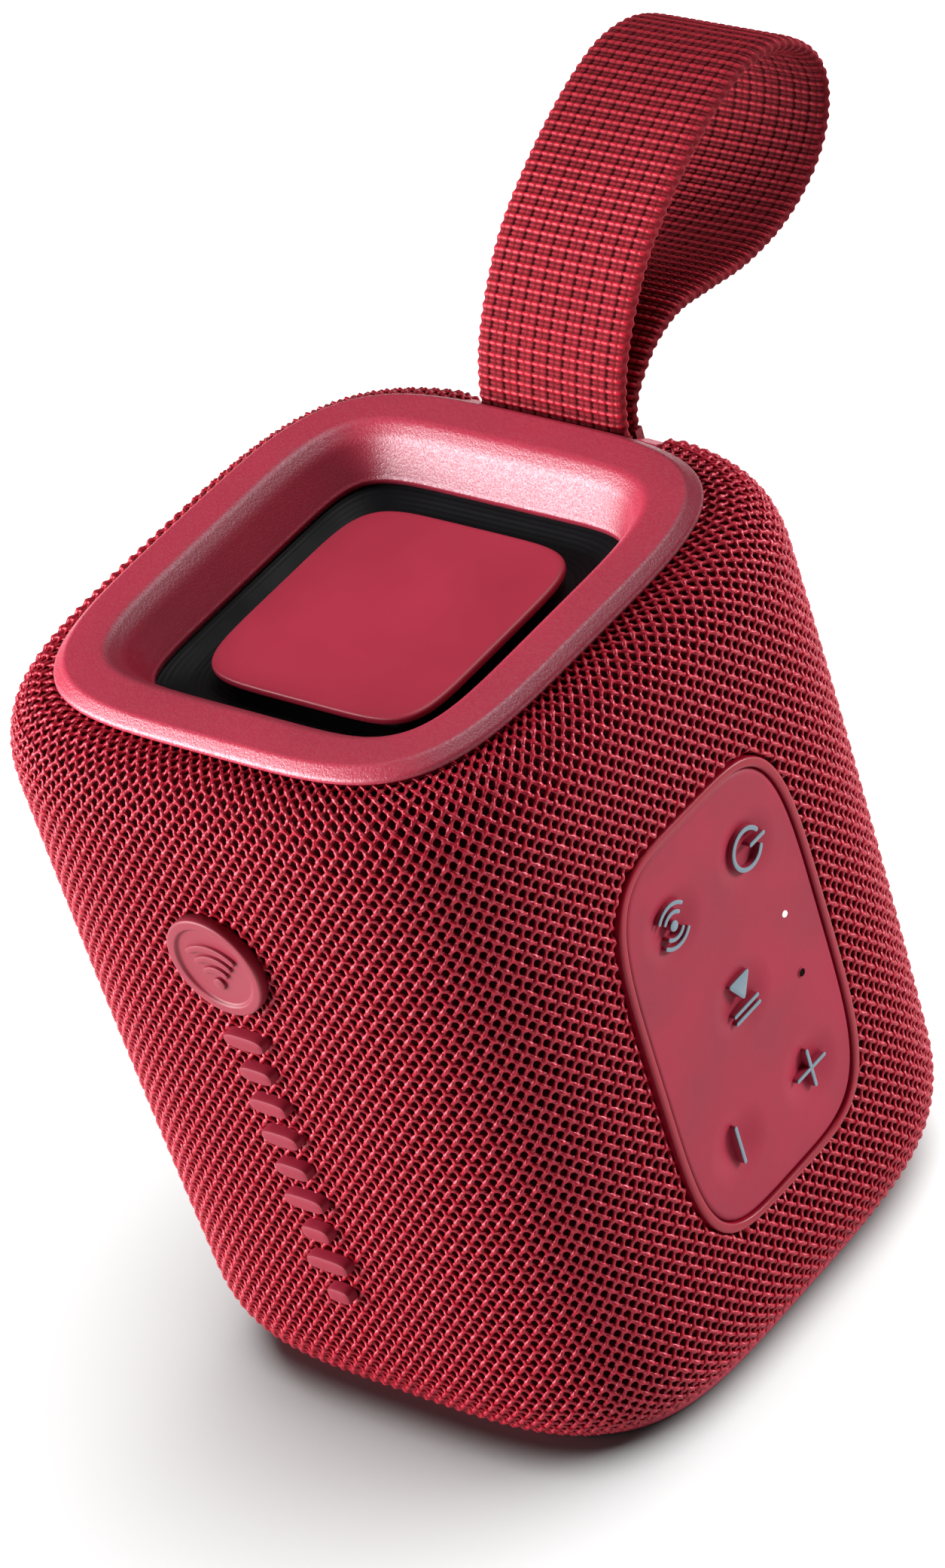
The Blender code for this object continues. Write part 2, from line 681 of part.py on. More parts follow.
def side_foot_pad(surface):
    centre = (0.0, DRIVER_HEIGHT)
    outer = -side_x(DRIVER_HEIGHT) - 0.9
    a, b = FOOT_PAD_HALF
    section = [(0.0, outer + 2.4), (0.0, outer + 0.5), (0.5, outer)]
    loops = [side_loop(centre, (a - inset, b - inset), x) for inset, x in section]
    return loft("side_foot_pad", loops, surface, smooth=False)


def electronics(board, cell_skin, black):
    box("main_board", (-20.0, 31.1, 20.0), (26.0, 32.7, 86.0), board)
    turned("battery_cell", [(8.6, 24.0), (9.2, 24.6), (9.2, 88.4), (8.6, 89.0)], "Z", (-20.0, 19.0, 0.0), cell_skin,
           count=20, origin=(-20.0, 19.0, 24.0))
    holder = box("battery_holder", (-30.6, 18.0, 21.0), (-9.4, 29.8, 92.0), black)
    cell_room = turned("cell_room", [(9.6, 23.5), (9.6, 89.5)], "Z", (-20.0, 19.0, 0.0), None, count=20)
    cut(holder, cutter(cell_room))


# ---------------------------------------------------------------- driver


def driver_centre():
    return (0.0, 0.0, DRIVER_HEIGHT)


def driver_screw_places():
    return [(sx * 18.9, DRIVER_HEIGHT + sz * 18.9) for sx in (-1, 1) for sz in (-1, 1)]


def driver_screw_holes(name="seat_screw_holes", radius=1.1, low=-38.6, high=-30.0):
    mesh_data = bmesh.new()
    for x, z in driver_screw_places():
        add_loft(mesh_data, [round_loop(radius, y, "Y", (x, 0.0, z), 10) for y in (low, high)])
    return cutter(finish_mesh(name, mesh_data, (0.0, 0.0, 0.0), None))


def driver_turned(name, profile, surface, hollow=False, count=24):
    return turned(name, profile, "Y", driver_centre(), surface, count=count, hollow=hollow)


def driver(steel, magnet, paper, rubber, copper, foam, screw):
    """A 50 mm full-range driver, from its gasket back to its magnet cup."""
    seat = DRIVER_SEAT
    gasket = driver_turned("driver_gasket", [(24.2, seat + 0.3), (28.6, seat + 0.3), (28.6, seat + 1.1), (24.2, seat + 1.1)],
                           foam, hollow=True)
    basket = driver_turned("driver_basket", [
        (24.3, seat + 1.4), (28.6, seat + 1.4), (28.6, seat + 2.8), (24.9, seat + 2.8), (14.6, -20.6),
        (14.6, -18.6), (11.9, -18.6), (11.9, -20.2), (13.6, -22.0), (24.3, seat + 2.4),
    ], steel, hollow=True)
    for piece, name in ((gasket, "gasket_screw_holes"), (basket, "basket_screw_holes")):
        cut(piece, driver_screw_holes(name))
    driver_turned("driver_surround", [
        (24.0, seat + 1.4), (23.2, seat - 0.2), (21.8, seat + 0.1), (20.4, seat + 1.6), (20.4, seat + 2.2),
        (21.9, seat + 0.7), (22.8, seat + 0.5), (23.4, seat + 2.0), (24.0, seat + 2.0),
    ], rubber, hollow=True)
    driver_turned("driver_cone", [
        (20.1, seat + 1.6), (20.1, seat + 2.2), (11.2, -25.6), (10.75, -25.6), (10.75, -26.4), (11.0, -26.4),
    ], paper, hollow=True)
    driver_turned("dust_cap", [(0.6, -30.2), (4.6, -29.5), (7.8, -28.0), (9.4, -26.2), (8.8, -26.0), (7.2, -27.3), (4.2, -28.8), (0.5, -29.4)],
                  paper, count=20)
    driver_turned("voice_coil", [(9.9, -25.9), (10.45, -25.9), (10.45, -14.5), (9.9, -14.5)], copper, hollow=True)
    driver_turned("driver_spider", [(11.0, -23.6), (12.6, -23.6), (12.6, -23.2), (11.0, -23.2)], foam, hollow=True)
    driver_turned("magnet_cup", [(11.4, -18.2), (14.0, -18.2), (14.0, -9.0), (0.5, -9.0), (0.5, -10.8), (11.4, -10.8)],
                  steel, hollow=True)
    driver_turned("driver_magnet", [(8.9, -20.0), (9.2, -19.7), (9.2, -11.4), (8.9, -11.1)], magnet)
    for number, (x, z) in enumerate(driver_screw_places(), start=1):
        profile = [(0.8, -38.2), (0.8, seat + 3.1), (1.6, seat + 3.1), (1.6, seat + 4.2)]
        turned(f"driver_screw_{number}", profile, "Y", (x, 0.0, z), screw, count=10)


# ---------------------------------------------------------------- assembly


def main():
    clear_scene()
    fabric = material("fabric", CRIMSON, 0.7)
    satin = material("satin_plastic", (0.50, 0.05, 0.09), 0.42)
    lip = material("lip_plastic", DARK_CRIMSON, 0.35)
    soft_touch = material("soft_rubber", (0.44, 0.075, 0.11), 0.55)
    slate = material("key_rubber", (0.40, 0.07, 0.10), 0.55)
    black_rubber = material("black_rubber", (0.012, 0.012, 0.015), 0.35)
    webbing = material("webbing", (0.33, 0.02, 0.05), 0.6)
    black_plastic = material("black_plastic", (0.02, 0.02, 0.022), 0.5)
    steel = material("steel", (0.55, 0.55, 0.56), 0.35, 1.0)
    zinc = material("screw_steel", (0.6, 0.6, 0.62), 0.3, 1.0)
    magnet = material("magnet_metal", (0.35, 0.35, 0.36), 0.4, 1.0)
    paper = material("cone_paper", (0.05, 0.05, 0.055), 0.8)
    copper = material("coil_copper", (0.72, 0.32, 0.18), 0.35, 1.0)
    foam = material("foam", (0.06, 0.06, 0.06), 0.9)
    board = material("circuit_board", (0.02, 0.16, 0.07), 0.45)
    lens = material("light_lens", (0.9, 0.9, 0.88), 0.2)
    cell_skin = material("cell_skin", (0.05, 0.16, 0.35), 0.4)

    openings = body_cutters()
    fabric_sleeve(fabric, openings)
    enclosure(black_plastic, openings)
    top_ring(satin)
    radiator_frame(black_plastic)
    ring_screws(zinc)
    radiator_surround(black_rubber)
    radiator_plate(satin)
    radiator_weight(steel)
    bottom_cap(satin)
    base_pad(black_rubber)
    keypad_frame(lip)
    keypad_panel(soft_touch)
    keys(slate)
    key_switches(black_plastic)
    key_board(board)
    light_and_microphone(lens, steel)
    badge(soft_touch)
    level_marks(soft_touch)
    strap_loop(webbing)
    strap_tail(webbing)
    strap_bar(steel)
    strap_housing(satin)
    port_cover(soft_touch)
    usb_socket(steel)
    side_foot_pad(black_rubber)
    electronics(board, cell_skin, black_plastic)
    driver(steel, magnet, paper, black_rubber, copper, foam, zinc)


main()
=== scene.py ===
"""Looks of a portable fabric-wrapped speaker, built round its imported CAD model.

Geometry is written in millimetres and turned into metres where a mesh is made. The frame is the CAD's:
+Z up the body, the front with the badge faces -Y, the keypad faces +X, the carry loop leans over +Y.
"""

import math

import bmesh
import bpy
import numpy as np
from mathutils import Matrix, Vector


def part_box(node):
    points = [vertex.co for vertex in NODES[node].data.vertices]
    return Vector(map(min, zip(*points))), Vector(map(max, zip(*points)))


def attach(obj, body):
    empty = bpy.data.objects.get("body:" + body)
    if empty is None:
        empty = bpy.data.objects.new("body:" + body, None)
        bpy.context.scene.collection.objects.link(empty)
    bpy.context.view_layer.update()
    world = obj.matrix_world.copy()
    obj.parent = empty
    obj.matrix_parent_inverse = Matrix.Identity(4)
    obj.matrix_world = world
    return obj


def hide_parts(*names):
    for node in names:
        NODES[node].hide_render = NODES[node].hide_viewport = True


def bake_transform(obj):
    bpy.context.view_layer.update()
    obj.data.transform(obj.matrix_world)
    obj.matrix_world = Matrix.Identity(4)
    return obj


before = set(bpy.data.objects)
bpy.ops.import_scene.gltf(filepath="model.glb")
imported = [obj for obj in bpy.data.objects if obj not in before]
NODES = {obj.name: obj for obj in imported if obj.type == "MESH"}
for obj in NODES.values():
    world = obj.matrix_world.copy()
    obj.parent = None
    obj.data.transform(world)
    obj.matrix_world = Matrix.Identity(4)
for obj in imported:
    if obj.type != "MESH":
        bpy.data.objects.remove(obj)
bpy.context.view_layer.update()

MM = 0.001


def box_mm(node):
    """Lowest and highest corners of a CAD node, in millimetres."""
    low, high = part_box(node)
    return np.array(low) / MM, np.array(high) / MM


# Body, as the CAD's driving dimensions
HEIGHT = box_mm("top_ring")[1][2]
BODY_TOP_HALF = (43.7, 44.2)
BODY_FOOT_HALF = (41.9, 43.9)
BODY_POWER = 3.75
BODY_BOW = 0.3
TOP_SHOULDER = 11.2
FOOT_SHOULDER = 14.0
FABRIC_EDGE_HALF = 35.4
FABRIC_EDGE_DEPTH = 2.2
RING_POWER = 4.1

# Knitted cloth
COLUMNS = 148
ROW_PITCH = 1.185
SECTORS = 8
STRAND_SIDES = 6
STRAND_STEPS = 4
STRAND_HALF_WIDTH = 0.34
STRAND_HALF_HEIGHT = 0.33
STRAND_WAVE = 0.10
KNOT_SWELL = 0.38
KNOT_RISE = 0.17
STRAND_DEPTH = 0.38
GROUND_DEPTH = 1.5
YARN_PER_ROW = 1.62
CROWDED_SHARE = 0.62

# Keypad on +X
KEYPAD_CENTRE = (-0.9, 55.2)
KEYPAD_HALF = (18.8, 31.6)
KEYPAD_POWER = 4.25
LIP_WIDTH = 1.2
KEY_SPREAD = (7.96, 18.7)
PANEL_DEPTH = 0.5
DIMPLE_RADIUS = 6.2
DIMPLE_DEPTH = 0.95
ICON_PROUD = 1.35
STROKE = 0.28
INK_DEPTH = 0.12
LIGHT_OFFSET = (11.3, 5.0)

# Openings in the cloth
PORT_CENTRE = (0.0, 28.0)
PORT_HALF = (11.0, 6.0)
SIDE_FOOT_HEIGHT = 56.6
SIDE_FOOT_HALF = (11.0, 24.0)
STRAP_NOTCH_HALF = 17.0
STRAP_NOTCH_FLOOR = 104.6

# Webbing
STRAP_WIDTH = 24.8
STRAP_THICK = 1.6
RIB_PITCH = 1.5
WARP_PAIRS = 10
WEB_RELIEF = 0.52
WEB_SCALLOP = 0.16
WEB_LENGTHS = 4
STRAP_PATH = [
    (37.6, 110.4), (38.6, 114.2), (40.7, 118.8), (44.6, 124.2), (50.0, 129.7), (56.8, 134.2), (64.0, 137.9),
    (71.2, 140.6), (77.6, 141.7), (84.2, 140.3), (89.2, 136.2), (90.8, 131.0), (88.6, 125.4), (83.6, 121.0),
    (76.2, 118.2), (67.6, 117.7), (59.6, 119.0), (53.2, 119.9), (47.4, 118.6), (42.8, 115.6), (40.5, 113.0),
    (39.7, 110.4),
]

RANDOM = np.random.default_rng(7)


# ---------------- outlines and the body's surface


def reach(angles, power):
    """Polar radius of a unit rounded square."""
    return (np.abs(np.cos(angles)) ** power + np.abs(np.sin(angles)) ** power) ** (-1.0 / power)


def even_angles(count, power=4.0, ratio=1.0):
    """Polar angles whose points are evenly spaced along a rounded square's edge, count of them."""
    fine = np.linspace(0.0, 2.0 * np.pi, 7201)
    radius = reach(fine, power)
    points = np.stack([radius * np.cos(fine), ratio * radius * np.sin(fine)], axis=1)
    steps = np.linalg.norm(np.diff(points, axis=0), axis=1)
    length = np.concatenate([[0.0], np.cumsum(steps)])
    return np.interp(np.arange(count) / count * length[-1], length, fine)


def rounded_square(half_a, half_b, power, angles):
    """Points of a rounded square's outline at polar angles, as (a, b) pairs."""
    radius = reach(angles, power)
    return np.stack([half_a * radius * np.cos(angles), half_b * radius * np.sin(angles)], axis=1)


def half_at(z):
    """The body's half sizes at heights on its straight sides."""
    top = HEIGHT - FABRIC_EDGE_DEPTH - TOP_SHOULDER
    foot = FABRIC_EDGE_DEPTH + FOOT_SHOULDER
    share = (top - z) / (top - foot)
    bow = BODY_BOW * 4.0 * share * (1.0 - share)
    return [a * (1.0 - share) + b * share + bow for a, b in zip(BODY_TOP_HALF, BODY_FOOT_HALF)]


def side_x(z):
    return half_at(z)[0]


def meridian_table():
    """Rows of (length from the top edge, half x, half y, z, power) down the middle of a face."""
    turns = np.radians(np.linspace(0.0, 90.0, 61))
    rows = []
    for turn in turns:
        halves = [FABRIC_EDGE_HALF + (h - FABRIC_EDGE_HALF) * math.sin(turn) ** 0.88 for h in BODY_TOP_HALF]
        drop = TOP_SHOULDER * (1.0 - math.cos(turn)) ** 1.12
        power = RING_POWER + (BODY_POWER - RING_POWER) * math.sin(turn)
        rows.append((*halves, HEIGHT - FABRIC_EDGE_DEPTH - drop, power))
    for z in np.linspace(rows[-1][2], FABRIC_EDGE_DEPTH + FOOT_SHOULDER, 82)[1:]:
        rows.append((*half_at(z), z, BODY_POWER))
    for turn in turns[::-1][1:]:
        halves = [FABRIC_EDGE_HALF + (h - FABRIC_EDGE_HALF) * math.sin(turn) for h in BODY_FOOT_HALF]
        rise = FOOT_SHOULDER * (1.0 - math.cos(turn))
        power = RING_POWER + (BODY_POWER - RING_POWER) * math.sin(turn)
        rows.append((*halves, FABRIC_EDGE_DEPTH + rise, power))
    rows = np.array(rows)
    middle = rows[:, 0:2].mean(axis=1)
    steps = np.hypot(np.diff(middle), np.diff(rows[:, 2]))
    length = np.concatenate([[0.0], np.cumsum(steps)])
    return np.column_stack([length, rows])


MERIDIAN = meridian_table()
MERIDIAN_LENGTH = MERIDIAN[-1, 0]
ROWS = MERIDIAN_LENGTH / ROW_PITCH
COLUMN_ANGLES = np.append(even_angles(COLUMNS * 8, BODY_POWER), 2.0 * np.pi)


def body_point(column, row):
    """Points of the body's surface at cloth coordinates (columns round the body, rows down it)."""
    length = np.clip(row, 0.0, ROWS) * ROW_PITCH
    half_x, half_y, z, power = [np.interp(length, MERIDIAN[:, 0], MERIDIAN[:, i]) for i in (1, 2, 3, 4)]
    around = np.mod(column, COLUMNS) / COLUMNS * (len(COLUMN_ANGLES) - 1)
    angles = np.interp(around, np.arange(len(COLUMN_ANGLES)), COLUMN_ANGLES)
    radius = reach(angles, power)
    return np.stack([half_x * radius * np.cos(angles), half_y * radius * np.sin(angles), z], axis=-1)


def unit(vectors):
    return vectors / np.maximum(np.linalg.norm(vectors, axis=-1, keepdims=True), 1e-12)


def body_normal(column, row):
    """The body's outward normals at cloth coordinates."""
    step = 0.05
    low = np.clip(row - step, 0.0, ROWS)
    high = np.clip(row + step, 0.0, ROWS)
    across = body_point(column + step, row) - body_point(column - step, row)
    down = body_point(column, high) - body_point(column, low)
    return unit(np.cross(down, across))


# ---------------- meshes


def mesh_from_quads(name, points, quads, surface, uv=None, closed=True):
    """A smooth mesh from points in millimetres; a closed one is turned so that its faces point out."""
    points = np.asarray(points, float)
    quads = np.asarray(quads, np.int32)
    if closed:
        a, b, c, d = [points[quads[:, i]] for i in range(4)]
        volume = (np.cross(b, c) * a).sum() + (np.cross(c, d) * a).sum()
        if volume < 0.0:
            quads = quads[:, ::-1]
            uv = None if uv is None else uv[:, ::-1]
    mesh = bpy.data.meshes.new(name)
    mesh.vertices.add(len(points))
    mesh.vertices.foreach_set("co", (points * MM).astype(np.float32).ravel())
    mesh.loops.add(quads.size)
    mesh.loops.foreach_set("vertex_index", quads.ravel())
    mesh.polygons.add(len(quads))
    mesh.polygons.foreach_set("loop_start", np.arange(0, quads.size, 4, dtype=np.int32))
    if uv is not None:
        layer = mesh.uv_layers.new(name="yarn")
        layer.uv.foreach_set("vector", uv.astype(np.float32).ravel())
    mesh.update(calc_edges=True)
    mesh.validate()
    mesh.shade_smooth()
    mesh.materials.append(surface)
    made = bpy.data.objects.new(name, mesh)
    bpy.context.scene.collection.objects.link(made)
    return made


def grid_quads(rows, columns, wrap_rows=False):
    """Quads between neighbouring points of a grid whose columns go all the way round."""
    r = np.arange(rows if wrap_rows else rows - 1)
    c = np.arange(columns)
    r, c = [item.ravel() for item in np.meshgrid(r, c, indexing="ij")]
    r_next = (r + 1) % rows
    c_next = (c + 1) % columns
    corners = [r * columns + c, r * columns + c_next, r_next * columns + c_next, r_next * columns + c]
    return np.stack(corners, axis=1)


def loft(name, loops, surface, closed_section=False):
    """Joins loops of equal length; ends are closed by loops shrinking to the middle."""
    loops = [np.asarray(item, float) for item in loops]
    if not closed_section:
        first, last = loops[0], loops[-1]
        head = [first.mean(0) + (first - first.mean(0)) * share for share in (0.002, 0.3, 0.7, 0.96)]
        tail = [last.mean(0) + (last - last.mean(0)) * share for share in (0.96, 0.7, 0.3, 0.002)]
        loops = head + loops + tail
    count = len(loops[0])
    points = np.concatenate(loops)
    quads = grid_quads(len(loops), count, wrap_rows=closed_section)
    return mesh_from_quads(name, points, quads, surface)


def fillet(section, radii, steps=5):
    """Rounds an open section's corners: each inner point is replaced by a short curve."""
    section = [np.array(p, float) for p in section]
    rounded = [section[0]]
    for before, corner, after, radius in zip(section, section[1:], section[2:], radii):
        if radius <= 0.0:
            rounded.append(corner)
            continue
        back = before - corner
        ahead = after - corner
        cut_back = min(radius, 0.48 * np.linalg.norm(back[:2])) / np.linalg.norm(back[:2])
        cut_ahead = min(radius, 0.48 * np.linalg.norm(ahead[:2])) / np.linalg.norm(ahead[:2])
        start = corner + back * cut_back
        end = corner + ahead * cut_ahead
        for t in np.linspace(0.0, 1.0, steps + 1):
            rounded.append((1 - t) ** 2 * start + 2 * t * (1 - t) * corner + t**2 * end)
    rounded.append(section[-1])
    return rounded


def level_loops(section, count=288, foot=False):
    """Loops of a square ring's section, from (half size, depth below the end face, power)."""
    angles = even_angles(count)
    loops = []
    for half, depth, power in section:
        flat = rounded_square(half, half, power, angles)
        z = depth if foot else HEIGHT - depth
        loops.append(np.column_stack([flat, np.full(count, z)]))
    return loops


def curve_through(points, spacing):
    """Points about spacing apart on a smooth curve (Catmull-Rom) through given (y, z) pairs."""
    padded = np.array([points[0]] + list(points) + [points[-1]], float)
    fine = []
    for p0, p1, p2, p3 in zip(padded, padded[1:], padded[2:], padded[3:]):
        for t in np.linspace(0.0, 1.0, 40, endpoint=False):
            fine.append(0.5 * (2 * p1 + (p2 - p0) * t + (2 * p0 - 5 * p1 + 4 * p2 - p3) * t**2
                               + (3 * p1 - p0 - 3 * p2 + p3) * t**3))
    fine.append(padded[-1])
    fine = np.array(fine)
    length = np.concatenate([[0.0], np.cumsum(np.linalg.norm(np.diff(fine, axis=0), axis=1))])
    wanted = np.linspace(0.0, length[-1], int(length[-1] / spacing) + 1)
    return np.column_stack([np.interp(wanted, length, fine[:, i]) for i in (0, 1)]), wanted


# ---------------- materials


class Surface:
    """One procedural material: a Principled surface with short ways to add nodes."""

    def __init__(self, name, colour, roughness, **sockets):
        self.material = bpy.data.materials.new(name)
        self.material.use_nodes = True
        self.tree = self.material.node_tree
        self.shader = self.tree.nodes["Principled BSDF"]
        self.shader.inputs["Base Color"].default_value = (*colour, 1.0)
        self.shader.inputs["Roughness"].default_value = roughness
        for socket, value in sockets.items():
            self.shader.inputs[socket.replace("_", " ")].default_value = value
        self.material.diffuse_color = (*colour, 1.0)
        self.place = self.node("ShaderNodeTexCoord").outputs["Object"]

    def node(self, kind, **settings):
        made = self.tree.nodes.new(kind)
        for key, value in settings.items():
            setattr(made, key, value)
        return made

    def feed(self, socket, value):
        if isinstance(value, bpy.types.NodeSocket):
            self.tree.links.new(value, socket)
        else:
            socket.default_value = value

    def noise(self, scale, detail=2.0, rough=0.5):
        made = self.node("ShaderNodeTexNoise")
        self.feed(made.inputs["Vector"], self.place)
        made.inputs["Scale"].default_value = scale
        made.inputs["Detail"].default_value = detail
        made.inputs["Roughness"].default_value = rough
        return made.outputs["Fac"]

    def maths(self, operation, first, second=0.0):
        made = self.node("ShaderNodeMath", operation=operation)
        self.feed(made.inputs[0], first)
        self.feed(made.inputs[1], second)
        return made.outputs[0]

    def ramp(self, value, *stops):
        """Colours or grey levels at positions, as (position, colour) pairs."""
        made = self.node("ShaderNodeValToRGB")
        self.feed(made.inputs["Fac"], value)
        line = made.color_ramp
        while len(line.elements) < len(stops):
            line.elements.new(0.5)
        for element, (position, colour) in zip(line.elements, stops):
            element.position = position
            colour = (colour,) * 3 if isinstance(colour, float) else colour
            element.color = (*colour, 1.0)
        return made.outputs["Color"]

    def bump(self, height, distance, strength=1.0):
        made = self.node("ShaderNodeBump")
        made.inputs["Strength"].default_value = strength
        made.inputs["Distance"].default_value = distance
        self.feed(made.inputs["Height"], height)
        return made.outputs["Normal"]

    def set(self, **sockets):
        for socket, value in sockets.items():
            self.feed(self.shader.inputs[socket.replace("_", " ")], value)
        return self


def shade(colour, by):
    return tuple(min(1.0, part * by) for part in colour)


def moulded(name, colour, roughness, grain, grain_size, mottling=0.06, **sockets):
    """Moulded plastic or rubber: fine grain, slight mottling and uneven gloss."""
    made = Surface(name, colour, roughness, **sockets)
    fine = made.noise(1.0 / (grain_size * MM), 2.0, 0.6)
    broad = made.noise(90.0, 3.0)
    tones = (0.3, shade(colour, 1.0 - mottling)), (0.7, shade(colour, 1.0 + mottling))
    made.set(Base_Color=made.ramp(broad, *tones))
    made.set(Roughness=made.ramp(broad, (0.25, roughness * 0.92), (0.75, min(1.0, roughness * 1.1))))
    made.set(Normal=made.bump(fine, grain * MM))
    return made.material


def yarn_material(name, colour, shadow, twist_length):
    """Twisted filament yarn, from the mesh's own coordinates along and round each strand."""
    made = Surface(name, colour, 0.5, Specular_IOR_Level=0.82, Specular_Tint=(1.0, 0.34, 0.44, 1.0))
    strand = made.node("ShaderNodeUVMap", uv_map="yarn").outputs["UV"]
    parts = made.node("ShaderNodeSeparateXYZ")
    made.feed(parts.inputs[0], strand)
    along = made.maths("MULTIPLY", parts.outputs["X"], 2.0 * math.pi / twist_length)
    round_it = made.maths("MULTIPLY", parts.outputs["Y"], 6.0 * math.pi)
    twist = made.maths("SINE", made.maths("ADD", along, round_it))
    uneven = made.noise(2600.0, 2.0)
    height = made.maths("ADD", made.maths("MULTIPLY", twist, 0.5), uneven)
    patches = made.noise(700.0, 2.0, 0.6)
    made.set(Base_Color=made.ramp(patches, (0.3, shadow), (0.5, colour), (0.75, shade(colour, 1.2))))
    made.set(Roughness=made.ramp(uneven, (0.3, 0.30), (0.7, 0.5)))
    made.set(Normal=made.bump(height, 0.05 * MM, 0.8))
    return made.material


def ground_material():
    """The cloth's lower layer, coloured near-black red as painted shade for the holes, with small painted
    glints of yarn.
    """
    # Painted shade: the near-black colour darkens the holes of the knit; the lighter spots are painted
    # glints of yarn.
    shaded_hole_red = (0.022, 0.0006, 0.0016)
    glint = (0.09, 0.006, 0.010)
    made = Surface("cloth_ground", shaded_hole_red, 0.8, Specular_IOR_Level=0.05)
    spots = made.noise(900.0, 3.0, 0.7)
    made.set(Base_Color=made.ramp(spots, (0.54, shaded_hole_red), (0.70, glint)))
    made.set(Normal=made.bump(spots, 0.25 * MM))
    return made.material


def metal(name, colour, roughness):
    """Bare metal with slightly uneven gloss."""
    made = Surface(name, colour, roughness, Metallic=1.0)
    brushed = made.noise(700.0, 3.0)
    made.set(Roughness=made.ramp(brushed, (0.3, roughness * 0.8), (0.7, roughness * 1.25)))
    made.set(Normal=made.bump(brushed, 0.01 * MM))
    return made.material


def ring_material(colour):
    """Satin plastic with a fine metallic fleck in it."""
    made = Surface("satin_crimson", colour, 0.38, Specular_IOR_Level=0.92,
                   Specular_Tint=(0.82, 0.93, 1.0, 1.0))
    fleck = made.noise(3000.0, 2.0, 0.7)
    broad = made.noise(90.0, 3.0)
    made.set(Base_Color=made.ramp(broad, (0.3, shade(colour, 0.95)), (0.7, shade(colour, 1.05))))
    made.set(Roughness=made.ramp(fleck, (0.35, 0.31), (0.65, 0.50)))
    made.set(Normal=made.bump(fleck, 0.07 * MM))
    return made.material


def surround_material():
    """Black rubber with a soft, uneven gloss."""
    made = Surface("surround_rubber", (0.004, 0.004, 0.005), 0.5, Specular_IOR_Level=0.11)
    fine = made.noise(1500.0, 2.0)
    broad = made.noise(120.0, 2.0)
    made.set(Roughness=made.ramp(broad, (0.3, 0.42), (0.7, 0.55)))
    made.set(Normal=made.bump(fine, 0.02 * MM))
    return made.material


RED = (0.385, 0.020, 0.048)
CLOTH_RED = (0.265, 0.0012, 0.010)
WEB_RED = (0.33, 0.007, 0.018)

MATERIALS = {
    "ring": ring_material(RED),
    "plate": moulded("plate_crimson", shade(RED, 0.96), 0.40, 0.008, 0.2),
    "lip": moulded("lip_crimson", (0.21, 0.003, 0.014), 0.34, 0.004, 0.3, Specular_IOR_Level=0.22),
    "panel": moulded("panel_soft_touch", (0.225, 0.009, 0.027), 0.58, 0.020, 0.22, 0.12,
                     Specular_IOR_Level=0.24),
    "badge": moulded("badge_soft_rubber", (0.20, 0.011, 0.026), 0.46, 0.01, 0.22, Specular_IOR_Level=0.38),
    "plain_web": moulded("webbing_inside", (0.13, 0.003, 0.010), 0.6, 0.03, 0.3, Specular_IOR_Level=0.2),
    "bars": moulded("bars_soft_rubber", (0.19, 0.006, 0.020), 0.5, 0.01, 0.22, Specular_IOR_Level=0.28),
    "icon": moulded("icon_slate", (0.10, 0.15, 0.185), 0.42, 0.006, 0.2),
    "black_rubber": moulded("black_rubber", (0.014, 0.014, 0.016), 0.55, 0.012, 0.25),
    "black_plastic": moulded("black_plastic", (0.02, 0.02, 0.022), 0.5, 0.01, 0.3),
    # Near-black, painted shade for the inside of the microphone's hole.
    "hole": moulded("painted_hole_black", (0.004, 0.001, 0.001), 0.9, 0.01, 0.2, Specular_IOR_Level=0.05),
    "surround": surround_material(),
    "yarn": yarn_material("cloth_yarn", CLOTH_RED, shade(CLOTH_RED, 0.85), 0.9),
    "ground": ground_material(),
    "steel": metal("pressed_steel", (0.55, 0.55, 0.56), 0.35),
    "zinc": metal("zinc_screw", (0.62, 0.62, 0.64), 0.28),
    "magnet": metal("magnet_nickel", (0.36, 0.36, 0.37), 0.4),
    "copper": metal("coil_copper", (0.72, 0.32, 0.18), 0.35),
    "paper": moulded("cone_paper", (0.05, 0.05, 0.055), 0.8, 0.03, 0.4),
    "foam": moulded("black_foam", (0.06, 0.06, 0.06), 0.9, 0.08, 0.5),
    "board": moulded("circuit_board", (0.012, 0.028, 0.02), 0.4, 0.01, 0.5),
    "cell": moulded("cell_wrap", (0.03, 0.12, 0.35), 0.3, 0.005, 0.5),
}


def web_material():
    """Woven filament yarn, coloured by the relief stored on the mesh: painted shade in the grooves of the
    weave and a painted highlight on the bead tops.
    """
    made = Surface("webbing_yarn", WEB_RED, 0.5, Specular_IOR_Level=0.5, Specular_Tint=(1.0, 0.4, 0.46, 1.0))
    relief = made.node("ShaderNodeAttribute", attribute_name="relief").outputs["Fac"]
    filament = made.noise(2300.0, 3.0, 0.7)
    uneven = made.maths("MULTIPLY_ADD", made.noise(700.0, 2.0, 0.6), 0.3)
    uneven.node.inputs[2].default_value = -0.15
    level = made.maths("ADD", relief, uneven)
    # Painted shade at low relief, down to an eighth of the yarn's colour, and a painted highlight up to 1.4
    # times it at the bead tops.
    tones = (0.2, 0.12), (0.5, 0.46), (0.8, 1.05), (1.0, 1.4)
    made.set(Base_Color=made.ramp(level, *[(position, shade(WEB_RED, by)) for position, by in tones]))
    made.set(Roughness=made.ramp(level, (0.3, 1.0), (0.65, 0.75), (0.85, 0.36)))
    made.set(Normal=made.bump(filament, 0.08 * MM))
    return made.material


MATERIALS["web"] = web_material()


def lens_material():
    made = Surface("white_light_lens", (0.9, 0.9, 0.88), 0.25)
    made.set(Roughness=made.ramp(made.noise(800.0), (0.3, 0.2), (0.7, 0.32)))
    made.set(Emission_Color=(1.0, 0.98, 0.95, 1.0), Emission_Strength=0.8)
    return made.material


MATERIALS["lens"] = lens_material()


# ---------------- cloth sleeve


